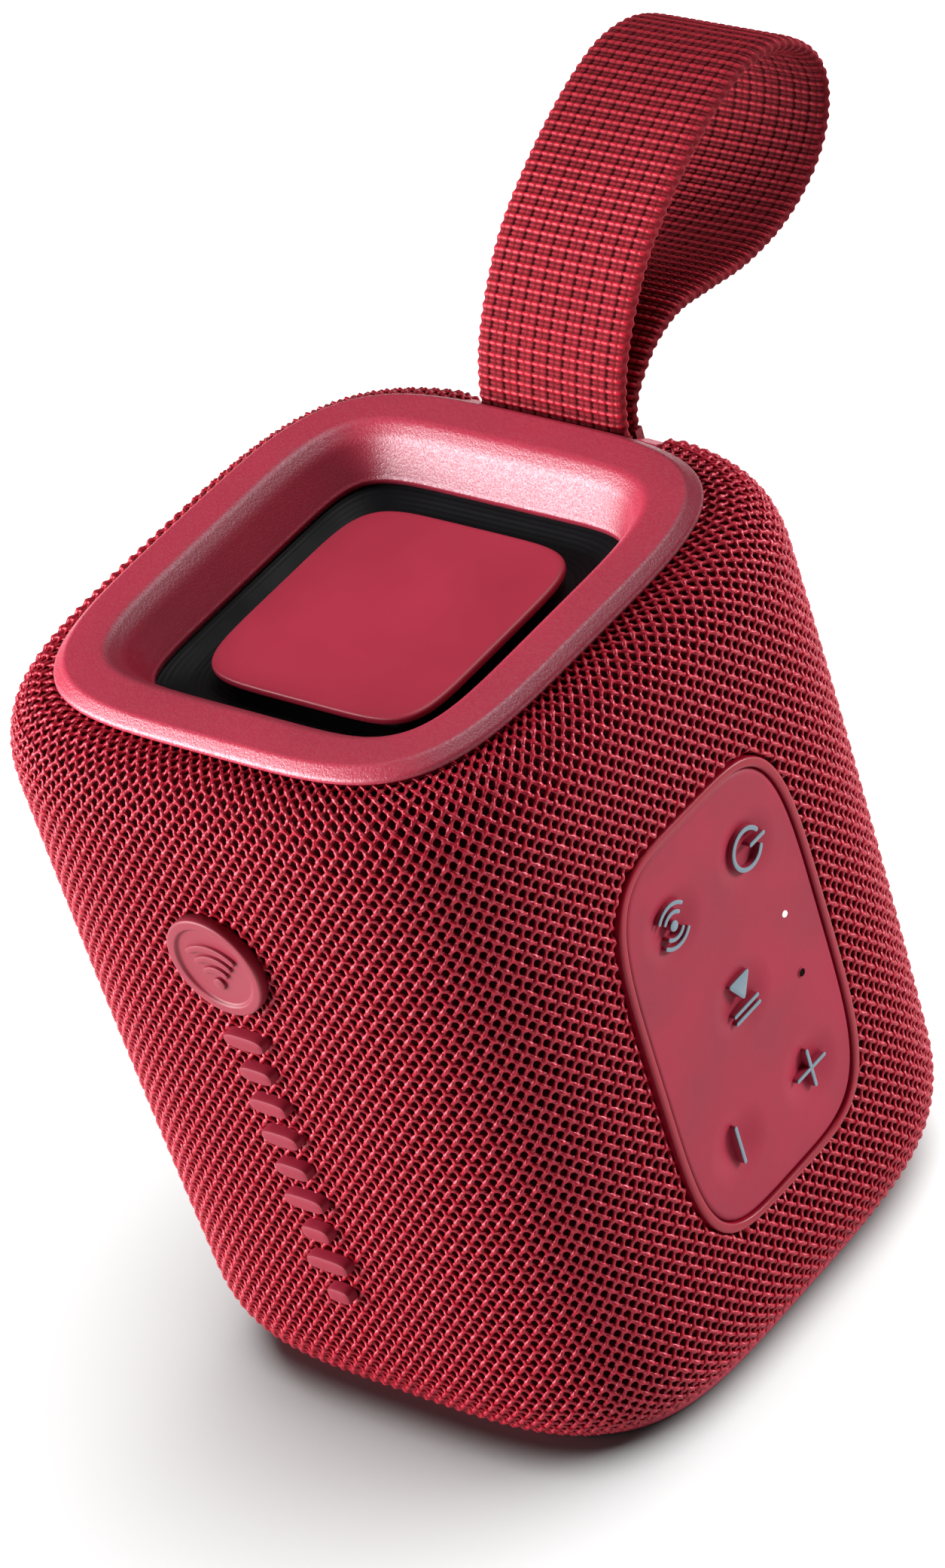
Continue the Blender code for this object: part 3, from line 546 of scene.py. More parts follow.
def beyond(a, b, half_a, half_b, power):
    """How far points lie outside a rounded square's outline, in millimetres; negative inside."""
    share = (np.abs(a / half_a) ** power + np.abs(b / half_b) ** power) ** (1.0 / power)
    return (share - 1.0) * np.hypot(a, b) / np.maximum(share, 1e-6)


def opening_distance(points):
    """Distance of points on the body from the nearest opening in the cloth; negative inside one."""
    x, y, z = points[..., 0], points[..., 1], points[..., 2]
    far = 99.0
    keypad = beyond(y - KEYPAD_CENTRE[0], z - KEYPAD_CENTRE[1], *KEYPAD_HALF, KEYPAD_POWER)
    keypad = np.where(x > 30.0, keypad, far)
    foot = beyond(y, z - SIDE_FOOT_HEIGHT, *SIDE_FOOT_HALF, KEYPAD_POWER)
    foot = np.where(x < -30.0, foot, far)
    port = beyond(x, z - PORT_CENTRE[1], *PORT_HALF, 4.0)
    port = np.where(y > 30.0, port, far)
    notch = np.maximum(np.abs(x) - STRAP_NOTCH_HALF, STRAP_NOTCH_FLOOR - z)
    notch = np.where(y > 30.0, notch, far)
    return np.minimum(np.minimum(keypad, foot), np.minimum(port, notch))


def strand_family(lean, steps):
    """Column and row of every ring along one family of strands, leaning one way round the body."""
    rings = np.linspace(0.0, ROWS, int(ROWS * steps) + 1)
    starts = np.arange(COLUMNS) + 0.5
    column = starts[:, None] + lean * 0.5 * rings[None, :]
    return column, np.broadcast_to(rings, column.shape)


def strand_meshes():
    """Every strand of both families as closed tubes, gathered into sectors round the body."""
    steps = STRAND_STEPS
    gathered = [([], [], []) for _ in range(SECTORS)]
    turns = 2.0 * np.pi * (np.arange(STRAND_SIDES) + 0.5) / STRAND_SIDES
    for lean in (1.0, -1.0):
        column, row = strand_family(lean, steps)
        centre = body_point(column, row)
        normal = body_normal(column, row)
        tangent = unit(np.gradient(centre, axis=1))
        side = unit(np.cross(normal, tangent))
        wave = lean * np.cos(np.pi * row)
        node = np.abs(np.cos(np.pi * row)) ** 1.5
        spacing = np.linalg.norm(body_point(column + 1.0, row) - centre, axis=-1)
        crowding = np.clip(spacing / np.median(spacing), CROWDED_SHARE, 1.0)
        thick = (0.82 + KNOT_SWELL * node + RANDOM.normal(0.0, 0.035, row.shape)) * crowding
        gap = opening_distance(centre)
        sink = 1.1 * np.clip(1.0 - gap / 1.1, 0.0, 1.0) ** 2
        level = STRAND_WAVE * wave + KNOT_RISE * (node - 1.0) - STRAND_DEPTH - sink
        middle = centre + normal * level[..., None]
        wide = (STRAND_HALF_WIDTH * thick)[..., None, None] * np.cos(turns)[None, None, :, None]
        tall = (STRAND_HALF_HEIGHT * thick)[..., None, None] * np.sin(turns)[None, None, :, None]
        rings = middle[:, :, None, :] + side[:, :, None, :] * wide + normal[:, :, None, :] * tall
        length = np.arange(row.shape[1]) * (YARN_PER_ROW / steps)
        kept = gap > -0.25
        segment = kept[:, :-1] & kept[:, 1:]
        sector = np.floor(np.mod(column[:, :-1], COLUMNS) / COLUMNS * SECTORS).astype(int) % SECTORS
        strand, place = np.nonzero(segment)
        base = (strand * row.shape[1] + place) * STRAND_SIDES
        flat = rings.reshape(-1, 3)
        found = [[] for _ in range(SECTORS)]
        chosen = sector[strand, place]
        start, end = length[place], length[place + 1]
        for number in range(STRAND_SIDES):
            after = (number + 1) % STRAND_SIDES
            ahead = base + STRAND_SIDES
            quads = np.stack([base + number, base + after, ahead + after, ahead + number], 1)
            low, high = [np.full(len(place), turn / STRAND_SIDES) for turn in (number, number + 1)]
            uv = np.stack([start, low, start, high, end, high, end, low], 1).reshape(-1, 4, 2)
            for part in range(SECTORS):
                found[part].append(quads[chosen == part])
                gathered[part][2].append(uv[chosen == part])
        for part in range(SECTORS):
            used, compact = np.unique(np.concatenate(found[part]), return_inverse=True)
            gathered[part][1].append(compact.reshape(-1, 4) + sum(len(p) for p in gathered[part][0]))
            gathered[part][0].append(flat[used])
    pieces = []
    for part, (points, quads, uv) in enumerate(gathered):
        pieces.append(mesh_from_quads(f"cloth_strands_{part + 1}", np.concatenate(points),
                                      np.concatenate(quads), MATERIALS["yarn"], np.concatenate(uv)))
    return pieces


def cloth_ground():
    """The lower layer of the knit, a closed skin just under the strands; its near-black colour is painted
    shade in the holes.
    """
    across = COLUMNS * 2
    rows = np.linspace(0.0, ROWS, 150)
    column, row = np.meshgrid(np.arange(across) / 2.0, rows)
    surface = body_point(column, row)
    points = (surface - body_normal(column, row) * GROUND_DEPTH).reshape(-1, 3)
    quads = grid_quads(len(rows), across)
    middle = surface.reshape(-1, 3)[quads].mean(axis=1)
    kept = quads[opening_distance(middle) > -0.55]
    return mesh_from_quads("cloth_ground", points, kept[:, ::-1], MATERIALS["ground"], closed=False)


def cloth():
    ground = cloth_ground()
    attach(ground, "speaker_body")
    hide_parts("fabric_sleeve")
    strands = strand_meshes()
    for piece in strands:
        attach(piece, "speaker_body")


# ---------------- end rings and radiator


def dress(piece, slot, *nodes, body="speaker_body"):
    """Attaches a piece to its body and hides the CAD nodes it stands for; a piece given no body is left
    unattached. The slot argument is not used.
    """
    if body is not None:
        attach(piece, body)
    if nodes:
        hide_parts(*nodes)
    return piece


def top_ring():
    """The ring round the top well, from the well's wall over the rim to the cloth's edge."""
    section = [
        (26.2, 7.2, 7.0), (24.1, 7.2, 7.5), (24.1, 6.5, 7.5), (24.35, 6.2, 7.4), (26.9, 1.7, 5.5),
        (28.8, 0.0, 5.2), (34.5, 0.0, 4.08), (36.0, 1.2, 4.08), (36.0, 1.85, 4.1), (35.0, 1.95, 4.1),
        (35.0, 3.2, 4.1), (27.6, 3.2, 5.4),
    ]
    radii = [0.0, 0.12, 0.15, 0.9, 0.8, 0.4, 0.45, 0.15, 0.1, 0.2]
    made = loft("ring_face", level_loops(fillet(section, radii, 7)), MATERIALS["ring"], closed_section=True)
    return dress(made, "satin_plastic", "top_ring")


def surround():
    """Rubber roll that falls from the ring's lip to under the plate, with fine moulded ribs."""
    control = [(27.0, 7.35, 6.0), (24.6, 7.45, 7.2), (23.2, 8.0, 6.9), (21.4, 8.9, 6.5), (19.0, 9.5, 6.1),
               (16.6, 9.65, 5.7)]
    share = np.linspace(0.0, 1.0, 90)
    knots = np.linspace(0.0, 1.0, len(control))
    half, depth, power = [np.interp(share, knots, column) for column in zip(*control)]
    ribs = 0.018 * np.sin(half * 2.0 * np.pi / 0.62)
    top = list(zip(half, depth - ribs, power))
    under = [(16.6, 10.25, 5.7), (21.0, 9.9, 6.5), (24.6, 8.4, 7.2), (27.0, 8.3, 6.0)]
    piece = loft("surround_roll", level_loops(top + under), MATERIALS["surround"], closed_section=True)
    dress(piece, "black_rubber", "radiator_surround", body=None)
    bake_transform(piece)


def plate():
    """The radiator's flat plate with its rounded edge and underside groove."""
    half_a, half_b, top = box_mm("radiator_plate")[1]
    power = 5.7
    angles = even_angles(256)
    section = [(1.6, 0.0), (0.0, 0.0), (0.0, 0.95), (0.2, 1.25), (2.9, 1.35), (3.2, 2.2)]
    loops = []
    for inset, drop in fillet(section, [0.75, 0.3, 0.1, 0.1], 6):
        flat = rounded_square(half_a - inset, half_b - inset, power, angles)
        loops.append(np.column_stack([flat, np.full(len(angles), top - drop)]))
    face = loft("radiator_face", loops, MATERIALS["plate"])
    dress(face, "satin_plastic", "radiator_plate", body="radiator")


def bottom():
    """The foot cap and the grip pad with its rings."""
    section = [
        (34.8, 4.8, 4.1), (35.0, 1.95, 4.1), (36.0, 1.85, 4.1), (36.0, 0.5, 4.08), (28.6, 0.5, 5.0),
        (28.35, 0.75, 5.0), (28.3, 2.6, 5.0),
    ]
    radii = [0.15, 0.2, 0.9, 0.3, 0.1]
    cap = loft("foot_cap", level_loops(fillet(section, radii), foot=True), MATERIALS["ring"])
    dress(cap, "satin_plastic", "bottom_cap")
    share = np.linspace(0.06, 1.0, 110)
    wave = 0.12 * (1.0 + np.cos(share * 27.2 * 2.0 * np.pi / 2.4))
    face = [(27.2 * s, w if s < 0.9 else 0.0, 2.0 + 3.0 * s) for s, w in zip(share, wave)]
    edge = [(27.6, 0.1, 5.0), (27.95, 0.4, 5.0), (28.0, 0.8, 5.0), (28.0, 2.3, 5.0)]
    pad = loft("grip_pad", level_loops(face + edge, 192, foot=True), MATERIALS["black_rubber"])
    dress(pad, "black_rubber", "base_pad")


# ---------------- keypad


def keypad_point(y, z, depth):
    """A point behind the body's tapered +X side."""
    return np.stack([side_x(z) - depth, y, z], axis=-1)


def keypad_loop(inset, depth, count=320):
    angles = even_angles(count, KEYPAD_POWER, KEYPAD_HALF[1] / KEYPAD_HALF[0])
    flat = rounded_square(KEYPAD_HALF[0] - inset, KEYPAD_HALF[1] - inset, KEYPAD_POWER, angles)
    return keypad_point(KEYPAD_CENTRE[0] + flat[:, 0], KEYPAD_CENTRE[1] + flat[:, 1], depth)


def keypad_rim():
    section = [(2.6, 3.4), (0.0, 3.4), (0.0, 0.15), (LIP_WIDTH, 0.15), (LIP_WIDTH, 2.4), (2.6, 2.4)]
    loops = [keypad_loop(inset, depth) for inset, depth in fillet(section, [0.1, 0.45, 0.45, 0.1], 6)]
    dress(loft("keypad_rim", loops, MATERIALS["lip"], closed_section=True), "lip_plastic", "keypad_frame")


def key_centres():
    dy, dz = KEY_SPREAD
    y, z = KEYPAD_CENTRE
    return {"power": (y + dy, z + dz), "pair": (y - dy, z + dz), "play": (y, z), "plus": (y + dy, z - dz),
            "minus": (y - dy, z - dz)}


def dimple(distance):
    """Depth of the soft dish round a key's mark."""
    share = np.clip(distance / DIMPLE_RADIUS, 0.0, 1.0)
    return DIMPLE_DEPTH * (0.5 + 0.5 * np.cos(np.pi * share))


def keypad_skin():
    """Panel skin as one surface, cut into the plain panel and the dished part round each key."""
    count = 320
    rings = np.linspace(0.004, 1.0, 96)
    angles = even_angles(count, KEYPAD_POWER, KEYPAD_HALF[1] / KEYPAD_HALF[0])
    inset = LIP_WIDTH + 0.12
    edge = rounded_square(KEYPAD_HALF[0] - inset, KEYPAD_HALF[1] - inset, KEYPAD_POWER, angles)
    flat = rings[:, None, None] * edge[None, :, :]
    y = KEYPAD_CENTRE[0] + flat[..., 0]
    z = KEYPAD_CENTRE[1] + flat[..., 1]
    depth = np.full(y.shape, PANEL_DEPTH)
    owner = np.zeros(y.shape, int)
    for number, (cy, cz) in enumerate(key_centres().values(), start=1):
        distance = np.hypot(y - cy, z - cz)
        depth += dimple(distance)
        owner[distance < DIMPLE_RADIUS + 0.5] = number
    from_edge = (1.0 - rings) * KEYPAD_HALF[0]
    depth += (0.35 * np.clip(1.0 - from_edge / 0.5, 0.0, 1.0) ** 2)[:, None]
    points = keypad_point(y, z, depth)
    rolled = keypad_point(y[-1], z[-1], 2.1)[None]
    points = np.concatenate([points, rolled]).reshape(-1, 3)
    owner = np.concatenate([owner, np.zeros((1, count), int)]).ravel()
    quads = grid_quads(len(rings) + 1, count)
    of_quad = owner[quads].min(axis=1)
    pieces = []
    for number in range(6):
        mine = quads[of_quad == number]
        used, compact = np.unique(mine, return_inverse=True)
        name = "panel_skin" if number == 0 else f"key_skin_{list(key_centres())[number - 1]}"
        pieces.append(mesh_from_quads(name, points[used], compact.reshape(-1, 4), MATERIALS["panel"],
                                      closed=False))
    dress(pieces[0], "soft_rubber", "keypad_panel")
    for piece, (name, (y0, z0)) in zip(pieces[1:], key_centres().items()):
        dress(piece, "soft_rubber", body=None)
        start = keypad_point(y0, z0, PANEL_DEPTH + 0.02) * MM
        end = keypad_point(y0, z0, PANEL_DEPTH + DIMPLE_DEPTH) * MM
        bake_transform(piece)


def stroke_path(path, half_width, steps=6):
    """Outline of a round-ended stroke along a path."""
    path = np.array(path, float)
    tangent = unit(np.gradient(path, axis=0))
    side = np.stack([-tangent[:, 1], tangent[:, 0]], axis=1) * half_width
    left, right = path + side, path - side
    turns = np.linspace(0.0, np.pi, steps + 1)[1:-1]
    end = [path[-1] + np.cos(t) * side[-1] + half_width * np.sin(t) * tangent[-1] for t in turns]
    start = [path[0] - np.cos(t) * side[0] - half_width * np.sin(t) * tangent[0] for t in turns]
    return np.concatenate([left, np.array(end), right[::-1], np.array(start)])


def arc_path(radius, start, end, count=24):
    turns = np.radians(np.linspace(start, end, count))
    return np.stack([radius * np.cos(turns), radius * np.sin(turns)], axis=1)


def line_path(first, last, count=6):
    return np.linspace(first, last, count)


def soft_corners(points, steps=3, share=0.16):
    """A polygon with each corner rounded."""
    points = np.array(points, float)
    rounded = []
    for before, corner, after in zip(np.roll(points, 1, 0), points, np.roll(points, -1, 0)):
        start = corner + (before - corner) * share
        end = corner + (after - corner) * share
        for t in np.linspace(0.0, 1.0, steps + 1):
            rounded.append((1 - t) ** 2 * start + 2 * t * (1 - t) * corner + t**2 * end)
    return np.array(rounded)


def icon_shapes():
    """Generic marks in their own frame: right runs down the body, up runs backwards."""
    waves = []
    for radius, spread in ((1.9, 48.0), (3.1, 48.0)):
        waves.append(stroke_path(arc_path(radius, -spread, spread, 12), STROKE))
        waves.append(stroke_path(arc_path(radius, 180.0 - spread, 180.0 + spread, 12), STROKE))
    return {
        "power": [stroke_path(arc_path(2.8, 118.0, 422.0, 40), STROKE + 0.04),
                  stroke_path(line_path((0, 0.8), (0, 3.5)), STROKE + 0.02)],
        "pair": [arc_path(0.75, 0.0, 345.0, 24)] + waves,
        "play": [soft_corners([(-3.5, -2.3), (0.3, 0.0), (-3.5, 2.3)]),
                 stroke_path(line_path((1.3, -2.4), (1.3, 2.4)), STROKE),
                 stroke_path(line_path((2.5, -2.4), (2.5, 2.4)), STROKE)],
        "plus": [stroke_path(line_path((-2.9, 0), (2.9, 0)), STROKE),
                 stroke_path(line_path((0, -2.9), (0, -0.26)), STROKE),
                 stroke_path(line_path((0, 0.26), (0, 2.9)), STROKE)],
        "minus": [stroke_path(line_path((-2.9, 0), (2.9, 0)), STROKE)],
    }


def raised(name, outlines, place, surface, low, high, soft=0.14):
    """Outlines raised along a place function, with softened top edges, as one object."""
    points, quads, total = [], [], 0
    for outline in outlines:
        edge = np.roll(outline, -1, 0) - np.roll(outline, 1, 0)
        normal = unit(np.stack([-edge[:, 1], edge[:, 0]], axis=1))
        ahead = np.roll(outline, -1, 0)
        area = 0.5 * np.sum(outline[:, 0] * ahead[:, 1] - outline[:, 1] * ahead[:, 0])
        normal = normal if area > 0 else -normal
        layers = [(0.0, low), (0.0, high - soft), (0.3 * soft, high - 0.3 * soft), (soft, high)]
        loops = [place(outline + normal * inset, level) for inset, level in layers]
        count = len(outline)
        quads.append(grid_quads(len(loops), count) + total)
        points.extend(loops)
        total += len(loops) * count
    return mesh_from_quads(name, np.concatenate(points), np.concatenate(quads), surface)


def close_ends(made):
    """Fills the flat top and bottom of each raised outline."""
    data = bmesh.new()
    data.from_mesh(made.data)
    edges = [edge for edge in data.edges if edge.is_boundary]
    bmesh.ops.holes_fill(data, edges=edges, sides=0)
    bmesh.ops.triangulate(data, faces=[face for face in data.faces if len(face.verts) > 4])
    bmesh.ops.recalc_face_normals(data, faces=data.faces)
    data.to_mesh(made.data)
    data.free()
    made.data.shade_smooth()
    made.data.set_sharp_from_angle(angle=math.radians(40.0))
    return made


def icons():
    """Each key's mark: a panel-coloured stem on the dished skin, with an inked cap."""
    shapes = icon_shapes()
    floor = -PANEL_DEPTH - DIMPLE_DEPTH
    face = floor + ICON_PROUD
    for name, (y0, z0) in key_centres().items():

        def place(outline, level, y0=y0, z0=z0):
            return keypad_point(y0 + outline[:, 1], z0 - outline[:, 0], -level)

        stem = raised(f"key_stem_{name}", shapes[name], place, MATERIALS["panel"], floor - 0.5,
                      face - INK_DEPTH)
        dress(close_ends(stem), "soft_rubber", body=f"key_{name}_cap")
        mark = raised(f"key_mark_{name}", shapes[name], place, MATERIALS["icon"], face - INK_DEPTH, face,
                      soft=0.06)
        dress(close_ends(mark), "key_rubber", f"key_{name}", body=f"key_{name}_cap")


def keypad_light():
    """The indicator's lens, and under it the microphone's hole, whose bottom is a near-black disc painted as
    the hole's shade.
    """
    turns = np.linspace(0.0, 2.0 * np.pi, 32, endpoint=False)

    def rings(up, profile):
        y0, z0 = KEYPAD_CENTRE[0] + LIGHT_OFFSET[0], KEYPAD_CENTRE[1] + up
        return [keypad_point(y0 + radius * np.cos(turns), z0 + radius * np.sin(turns), depth)
                for radius, depth in profile]

    lens = rings(LIGHT_OFFSET[1], [(0.45, 4.4), (0.45, 0.42), (0.4, 0.36), (0.24, 0.32)])
    dress(loft("status_light", lens, MATERIALS["lens"]), "light_lens", "light_pipe")
    section = [(0.74, 0.46), (0.7, 0.38), (0.62, 0.38), (0.58, 0.44), (0.58, 1.5), (0.74, 1.5)]
    eyelet = rings(-LIGHT_OFFSET[1], section)
    dress(loft("microphone_eyelet", eyelet, MATERIALS["panel"], closed_section=True), "soft_rubber")
    # Painted shade: a near-black disc closes the bottom of the microphone's hole.
    mesh = rings(-LIGHT_OFFSET[1], [(0.56, 1.4), (0.56, 0.46)])
    dress(loft("microphone_painted_hole", mesh, MATERIALS["hole"]), "black_plastic")


# ---------------- front badge and level bars


def badge():
    """The round badge on the front, with plain sound arcs."""
    low, high = box_mm("front_badge")
    centre_x, centre_z = 0.5 * (low[0] + high[0]), 0.5 * (low[2] + high[2])
    radius = 0.5 * (high[0] - low[0])
    face = -low[1]
    turns = np.linspace(0.0, 2.0 * np.pi, 128, endpoint=False)
    section = [(radius, face - 1.6), (radius, face), (radius - 1.35, face), (radius - 1.7, face - 0.45),
               (0.1, face - 0.45)]
    rounded = fillet(section, [0.4, 0.2, 0.2], 5)
    loops = []
    for size, out in rounded:
        loops.append(np.column_stack([centre_x + size * np.cos(turns), np.full(len(turns), -out),
                                      centre_z + size * np.sin(turns)]))
    dress(loft("badge_disc", loops, MATERIALS["badge"]), "soft_rubber", "front_badge")

    def place(outline, level):
        x, z = centre_x + outline[:, 0], centre_z + outline[:, 1]
        return np.column_stack([x, np.full(len(outline), -level), z])

    shapes = [arc_path(0.95, 0.0, 345.0, 24) + (0.0, -2.6)]
    for size in (2.6, 4.3, 6.0):
        shapes.append(stroke_path(arc_path(size, 52.0, 128.0, 24) + (0.0, -2.9), 0.5))
    made = raised("badge_waves", shapes, place, MATERIALS["badge"], face - 0.7, face + 0.02, 0.2)
    dress(close_ends(made), "soft_rubber")


def level_bars():
    """The column of plain level bars under the badge."""
    low, high = box_mm("level_marks")
    count, pitch, half_height = 9, 5.5, 1.25
    centre_x = 0.5 * (low[0] + high[0])
    first = high[2] - half_height
    face = -low[1]
    angles = even_angles(72)
    shapes = []
    for index in range(count):
        half_length = 1.7 + 1.9 * abs(math.sin(1.1 + 1.45 * index))
        outline = rounded_square(half_length, half_height, 3.2, angles)
        shapes.append(outline + (centre_x, first - pitch * index))

    def place(outline, level):
        return np.column_stack([outline[:, 0], np.full(len(outline), -level), outline[:, 1]])

    made = raised("level_bars", shapes, place, MATERIALS["bars"], face - 1.7, face, 0.45)
    dress(close_ends(made), "soft_rubber", "level_marks")


# ---------------- webbing


def bead(along, across, half_along, half_across):
    """Height, 0 to 1, of a rounded bead at the middle of its cell."""
    fall = np.abs(along / half_along) ** 2.2 + np.abs(across / half_across) ** 8.0
    return np.sqrt(np.clip(1.0 - fall, 0.0, 1.0))


def web_height(along, across):
    """Relief of the webbing's face, 0 to 1: rows of high beads and lower rows between, in thread pairs."""
    row = np.mod(along / RIB_PITCH + 0.5, 1.0) - 0.5
    low_row = np.mod(along / RIB_PITCH, 1.0) - 0.5
    pair = np.mod(across / STRAP_WIDTH * WARP_PAIRS, 1.0) - 0.5
    middle = 1.0 - 0.3 * np.exp(-((pair / 0.06) ** 2))
    high = bead(row, pair, 0.26, 0.54)
    low = bead(low_row, pair, 0.2, 0.49)
    return np.maximum(high, 0.66 * low) * middle


def webbing():
    """The carry loop in four lengths: the middle two ride with the strap, the two ends belong to no body."""
    path, along = curve_through(STRAP_PATH, RIB_PITCH / 9.0)
    tangent = unit(np.gradient(path, axis=0))
    out = np.stack([-tangent[:, 1], tangent[:, 0]], axis=1)
    across = np.linspace(0.0, STRAP_WIDTH, WARP_PAIRS * 16 + 1)
    lay_along, lay_across = np.meshgrid(along, across, indexing="ij")
    relief = web_height(lay_along, lay_across)
    relief[:, [0, 1, 2, -3, -2, -1]] = 0.55
    # Painted shade along the loop: past a fifth of its length the stored relief is lowered, so the crown and
    # the inside come out darker.
    turned = np.clip((along / along[-1] - 0.2) / 0.2, 0.0, 1.0)
    share = 2.0 * across / STRAP_WIDTH - 1.0
    scallop = WEB_SCALLOP * np.cos(2.0 * np.pi * along / RIB_PITCH)
    x = share[None, :] * (STRAP_WIDTH / 2 + scallop[:, None] * np.abs(share) ** 9)
    edge = np.sqrt(np.clip(1.0 - np.abs(share) ** 14, 0.0, 1.0))
    faces = []
    for sign in (1.0, -1.0):
        level = sign * edge[None, :] * (STRAP_THICK / 2 - 0.18 + WEB_RELIEF * relief)
        y = path[:, 0, None] + out[:, 0, None] * level
        z = path[:, 1, None] + out[:, 1, None] * level
        faces.append(np.stack([x, y, z], axis=-1))
    section = np.concatenate([faces[0], faces[1][:, ::-1]], axis=1)
    relief = np.concatenate([relief, relief[:, ::-1]], axis=1) * (1.0 - 0.28 * turned[:, None])
    cuts = np.linspace(0, len(path) - 1, WEB_LENGTHS + 1).astype(int)
    for number, (first, last) in enumerate(zip(cuts, cuts[1:]), start=1):
        part = section[first:last + 1]
        height = relief[first:last + 1]
        if number in (1, WEB_LENGTHS):
            rim = part[:1] if number == 1 else part[-1:]
            closed = rim * 0.02 + rim.mean(axis=1, keepdims=True) * 0.98
            part = np.concatenate([closed, part] if number == 1 else [part, closed])
            height = np.concatenate([height[:1], height] if number == 1 else [height, height[-1:]])
        rows, count = part.shape[:2]
        piece = mesh_from_quads(f"carry_webbing_{number}", part.reshape(-1, 3), grid_quads(rows, count),
                                MATERIALS["web"])
        # The relief attribute carries the weave's relief and the painted shade along the loop, for the
        # colour.
        piece.data.attributes.new("relief", "FLOAT", "POINT").data.foreach_set("value", height.ravel())
        if number in (1, WEB_LENGTHS):
            dress(piece, "webbing", body=None)
            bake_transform(piece)
        elif number == 2:
            dress(piece, "webbing", "strap_loop", body="strap")
        else:
            dress(piece, "webbing", body="strap")


# ---------------- back, side and inside


def port_flap():
    """The soft flap over the charging socket on the back."""
    low, high = box_mm("port_cover")
    outer = high[1]
    angles = even_angles(160, 4.0, PORT_HALF[1] / PORT_HALF[0])
    section = [(1.4, 2.6), (0.0, 2.2), (0.0, 0.0), (2.2, -0.12)]
    loops = []
    for inset, depth in fillet(section, [0.5, 0.45], 5):
        flat = rounded_square(PORT_HALF[0] - inset, PORT_HALF[1] - inset, 4.0, angles)
        y = np.full(len(angles), outer - depth)
        loops.append(np.column_stack([flat[:, 0], y, PORT_CENTRE[1] + flat[:, 1]]))
    dress(loft("port_flap_face", loops, MATERIALS["badge"]), "soft_rubber", "port_cover", body="port_flap")


def side_foot():
    """The ribbed side pad opposite the keypad."""
    low, high = box_mm("side_foot_pad")
    angles = even_angles(200, KEYPAD_POWER, SIDE_FOOT_HALF[1] / SIDE_FOOT_HALF[0])
    section = [(0.0, 2.4), (0.0, 0.0), (1.6, 0.0)] + [(1.6 + 1.6 * k + d, e) for k in range(5) for d, e in
                                                     ((0.25, 0.22), (0.55, 0.22), (0.8, 0.0), (1.2, 0.0))]
    loops = []
    for inset, depth in fillet(section, [0.5] + [0.1] * (len(section) - 3), 4):
        flat = rounded_square(SIDE_FOOT_HALF[0] - inset, SIDE_FOOT_HALF[1] - inset, KEYPAD_POWER, angles)
        x = np.full(len(angles), low[0] + depth)
        loops.append(np.column_stack([x, flat[:, 0], SIDE_FOOT_HEIGHT + flat[:, 1]]))
    dress(loft("side_foot_face", loops, MATERIALS["black_rubber"]), "black_rubber", "side_foot_pad")


def dress_cad():
    """Better finishes for the CAD nodes that stay."""
    choice = {
        "enclosure_shell": "black_plastic", "radiator_frame": "black_plastic", "radiator_weight": "steel",
        "key_board": "board", "microphone": "steel", "strap_tail": "plain_web", "strap_bar": "steel",
        "strap_housing": "ring", "usb_socket": "steel", "main_board": "board", "battery_cell": "cell",
        "battery_holder": "black_plastic", "driver_gasket": "foam", "driver_basket": "steel",
        "driver_surround": "surround", "driver_spider": "foam", "magnet_cup": "steel",
        "driver_magnet": "magnet", "driver_cone": "paper", "dust_cap": "paper", "voice_coil": "copper",
    }
    for name, made in NODES.items():
        key = choice.get(name)
        if name.startswith("switch_"):
            key = "black_plastic"
        if "_screw_" in name:
            key = "zinc"
        if key is not None:
            made.data.materials.clear()
            made.data.materials.append(MATERIALS[key])


# ---------------- stage, camera and light

CAMERA_PLACE = Vector((0.5460, -0.4620, 0.5859))
TARGET = Vector((0.0, 0.0, 0.07394))
AZIMUTH = math.radians(49.766)
ELEVATION = math.radians(35.595)
ROLL = math.radians(-19.045)
AIM_OFFSET = (0.002145, 0.003495)
LENS = 155.3


def camera():
    """The camera, rolled so that the upright speaker stands tilted in the frame."""
    right = Vector((math.cos(AZIMUTH), math.sin(AZIMUTH), 0.0))
    level = math.cos(ELEVATION)
    back = Vector((math.sin(AZIMUTH) * level, -math.cos(AZIMUTH) * level, math.sin(ELEVATION)))
    up = back.cross(right)
    turned_right = math.cos(ROLL) * right + math.sin(ROLL) * up
    turned_up = -math.sin(ROLL) * right + math.cos(ROLL) * up
    aim = TARGET + AIM_OFFSET[0] * turned_right + AIM_OFFSET[1] * turned_up
    back = (CAMERA_PLACE - aim).normalized()
    turned_right = (turned_right - turned_right.dot(back) * back).normalized()
    turned_up = back.cross(turned_right)
    data = bpy.data.cameras.new("camera")
    data.lens = LENS
    data.sensor_width = 36.0
    data.clip_start = 0.01
    data.clip_end = 20.0
    made = bpy.data.objects.new("camera", data)
    basis = Matrix((turned_right, turned_up, back)).transposed()
    made.matrix_world = Matrix.Translation(CAMERA_PLACE) @ basis.to_4x4()
    bpy.context.scene.collection.objects.link(made)
    bpy.context.scene.camera = made


def softbox(name, place, aim, width, height, power):
    data = bpy.data.lights.new(name, "AREA")
    data.shape = "RECTANGLE"
    data.size = width
    data.size_y = height
    data.energy = power
    made = bpy.data.objects.new(name, data)
    made.location = place
    made.rotation_euler = (Vector(aim) - Vector(place)).to_track_quat("-Z", "Y").to_euler()
    bpy.context.scene.collection.objects.link(made)
    return made


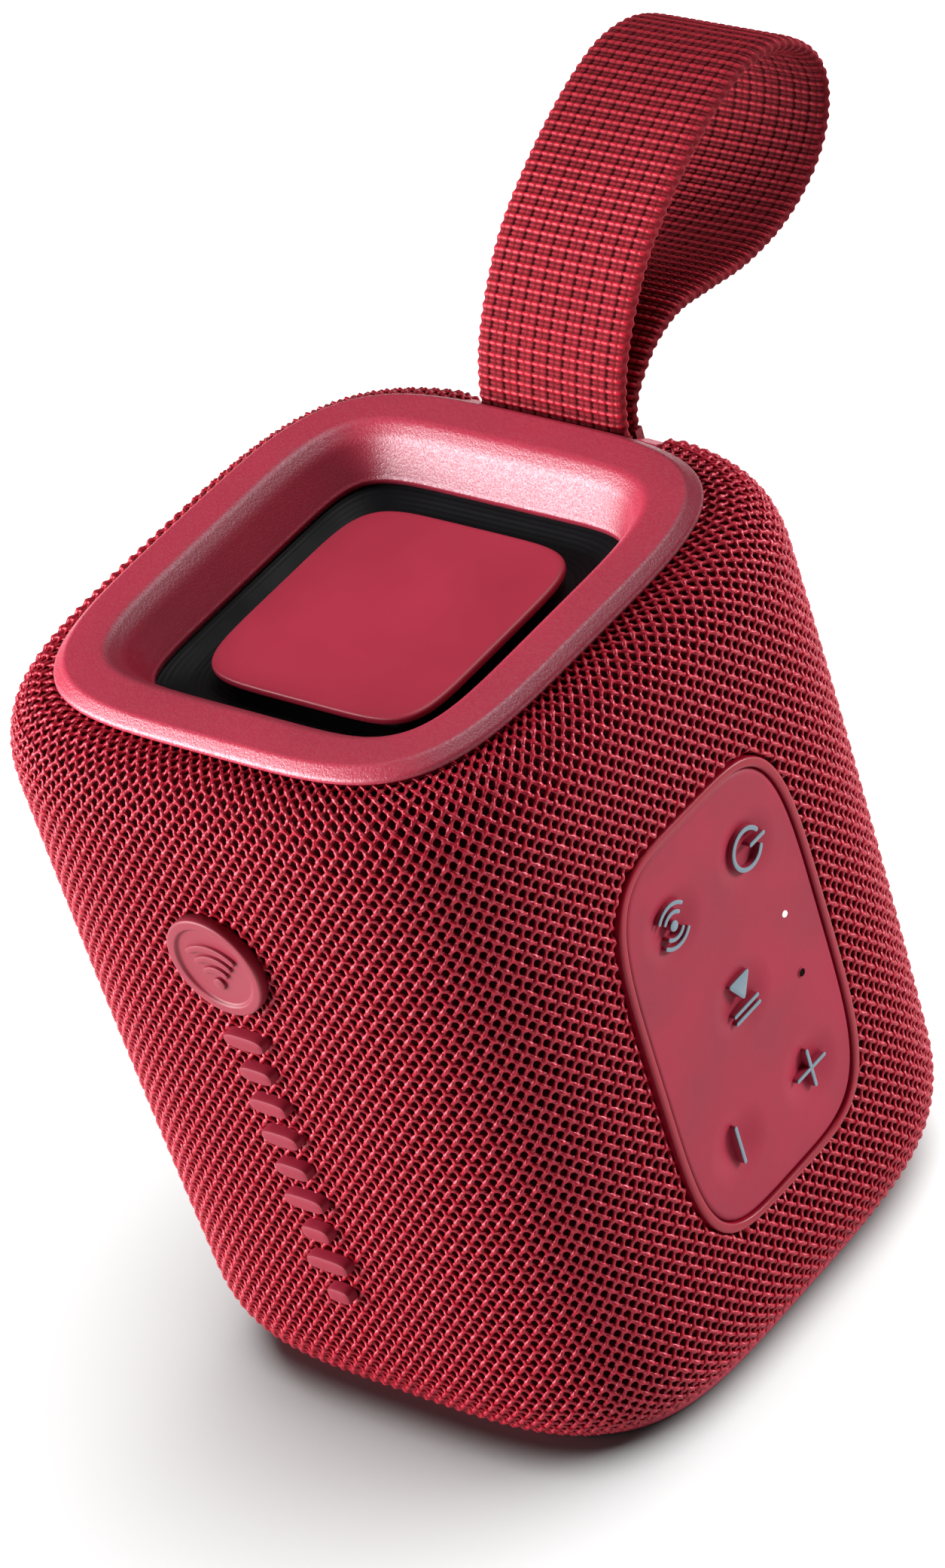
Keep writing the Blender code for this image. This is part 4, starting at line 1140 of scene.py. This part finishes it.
def light_only(lights, name, receivers, state):
    """Links lights to some objects (INCLUDE) or keeps them off those (EXCLUDE), as a studio flag does."""
    group = bpy.data.collections.new(name)
    for receiver in receivers:
        group.objects.link(receiver)
    for entry in group.collection_objects:
        entry.light_linking.link_state = state
    for light in lights:
        light.light_linking.receiver_collection = group


def stage():
    """The pale floor, the faint even light of the room and the plain view transform."""
    half = 3.0
    mesh = bpy.data.meshes.new("floor")
    corners = [(-half, -half, 0.0), (half, -half, 0.0), (half, half, 0.0), (-half, half, 0.0)]
    mesh.from_pydata(corners, [], [(0, 1, 2, 3)])
    floor = bpy.data.objects.new("floor", mesh)
    floor.location.z = -0.0001
    bpy.context.scene.collection.objects.link(floor)
    pale = Surface("pale_floor", (0.3, 0.3, 0.3), 0.9, Specular_IOR_Level=0.1)
    pale.set(Base_Color=pale.ramp(pale.noise(3.0), (0.3, 0.297), (0.7, 0.303)))
    mesh.materials.append(pale.material)
    world = bpy.data.worlds.new("studio")
    world.use_nodes = True
    world.node_tree.nodes["Background"].inputs["Color"].default_value = (1.0, 1.0, 1.0, 1.0)
    world.node_tree.nodes["Background"].inputs["Strength"].default_value = 0.12
    bpy.context.scene.world = world
    bpy.context.scene.view_settings.view_transform = "Standard"
    return floor


def lights(floor, ring):
    """Softboxes for the object from the left, right and above, and one for the floor alone."""
    left = softbox("left_softbox", (-0.62, -0.70, 0.32), (0.0, 0.0, 0.06), 0.8, 0.75, 32.0)
    right = softbox("right_softbox", (0.69, 0.78, 0.28), (0.0, 0.0, 0.06), 0.45, 0.25, 15.0)
    top = softbox("top_softbox", (0.1, 0.45, 1.1), (0.0, 0.0, 0.05), 0.7, 0.7, 5.8)
    overhead = softbox("floor_softbox", (0.25, 0.46, 1.4), (0.0, 0.0, 0.0), 2.2, 2.2, 196.0)
    light_only([left, top], "kept_off_floor", [floor], "EXCLUDE")
    light_only([right], "kept_off_floor_and_ring", [floor, ring], "EXCLUDE")
    light_only([overhead], "floor_only", [floor], "INCLUDE")


def main():
    camera()
    floor = stage()
    cloth()
    ring = top_ring()
    lights(floor, ring)
    surround()
    plate()
    bottom()
    keypad_rim()
    keypad_skin()
    icons()
    keypad_light()
    badge()
    level_bars()
    webbing()
    port_flap()
    side_foot()
    dress_cad()


main()
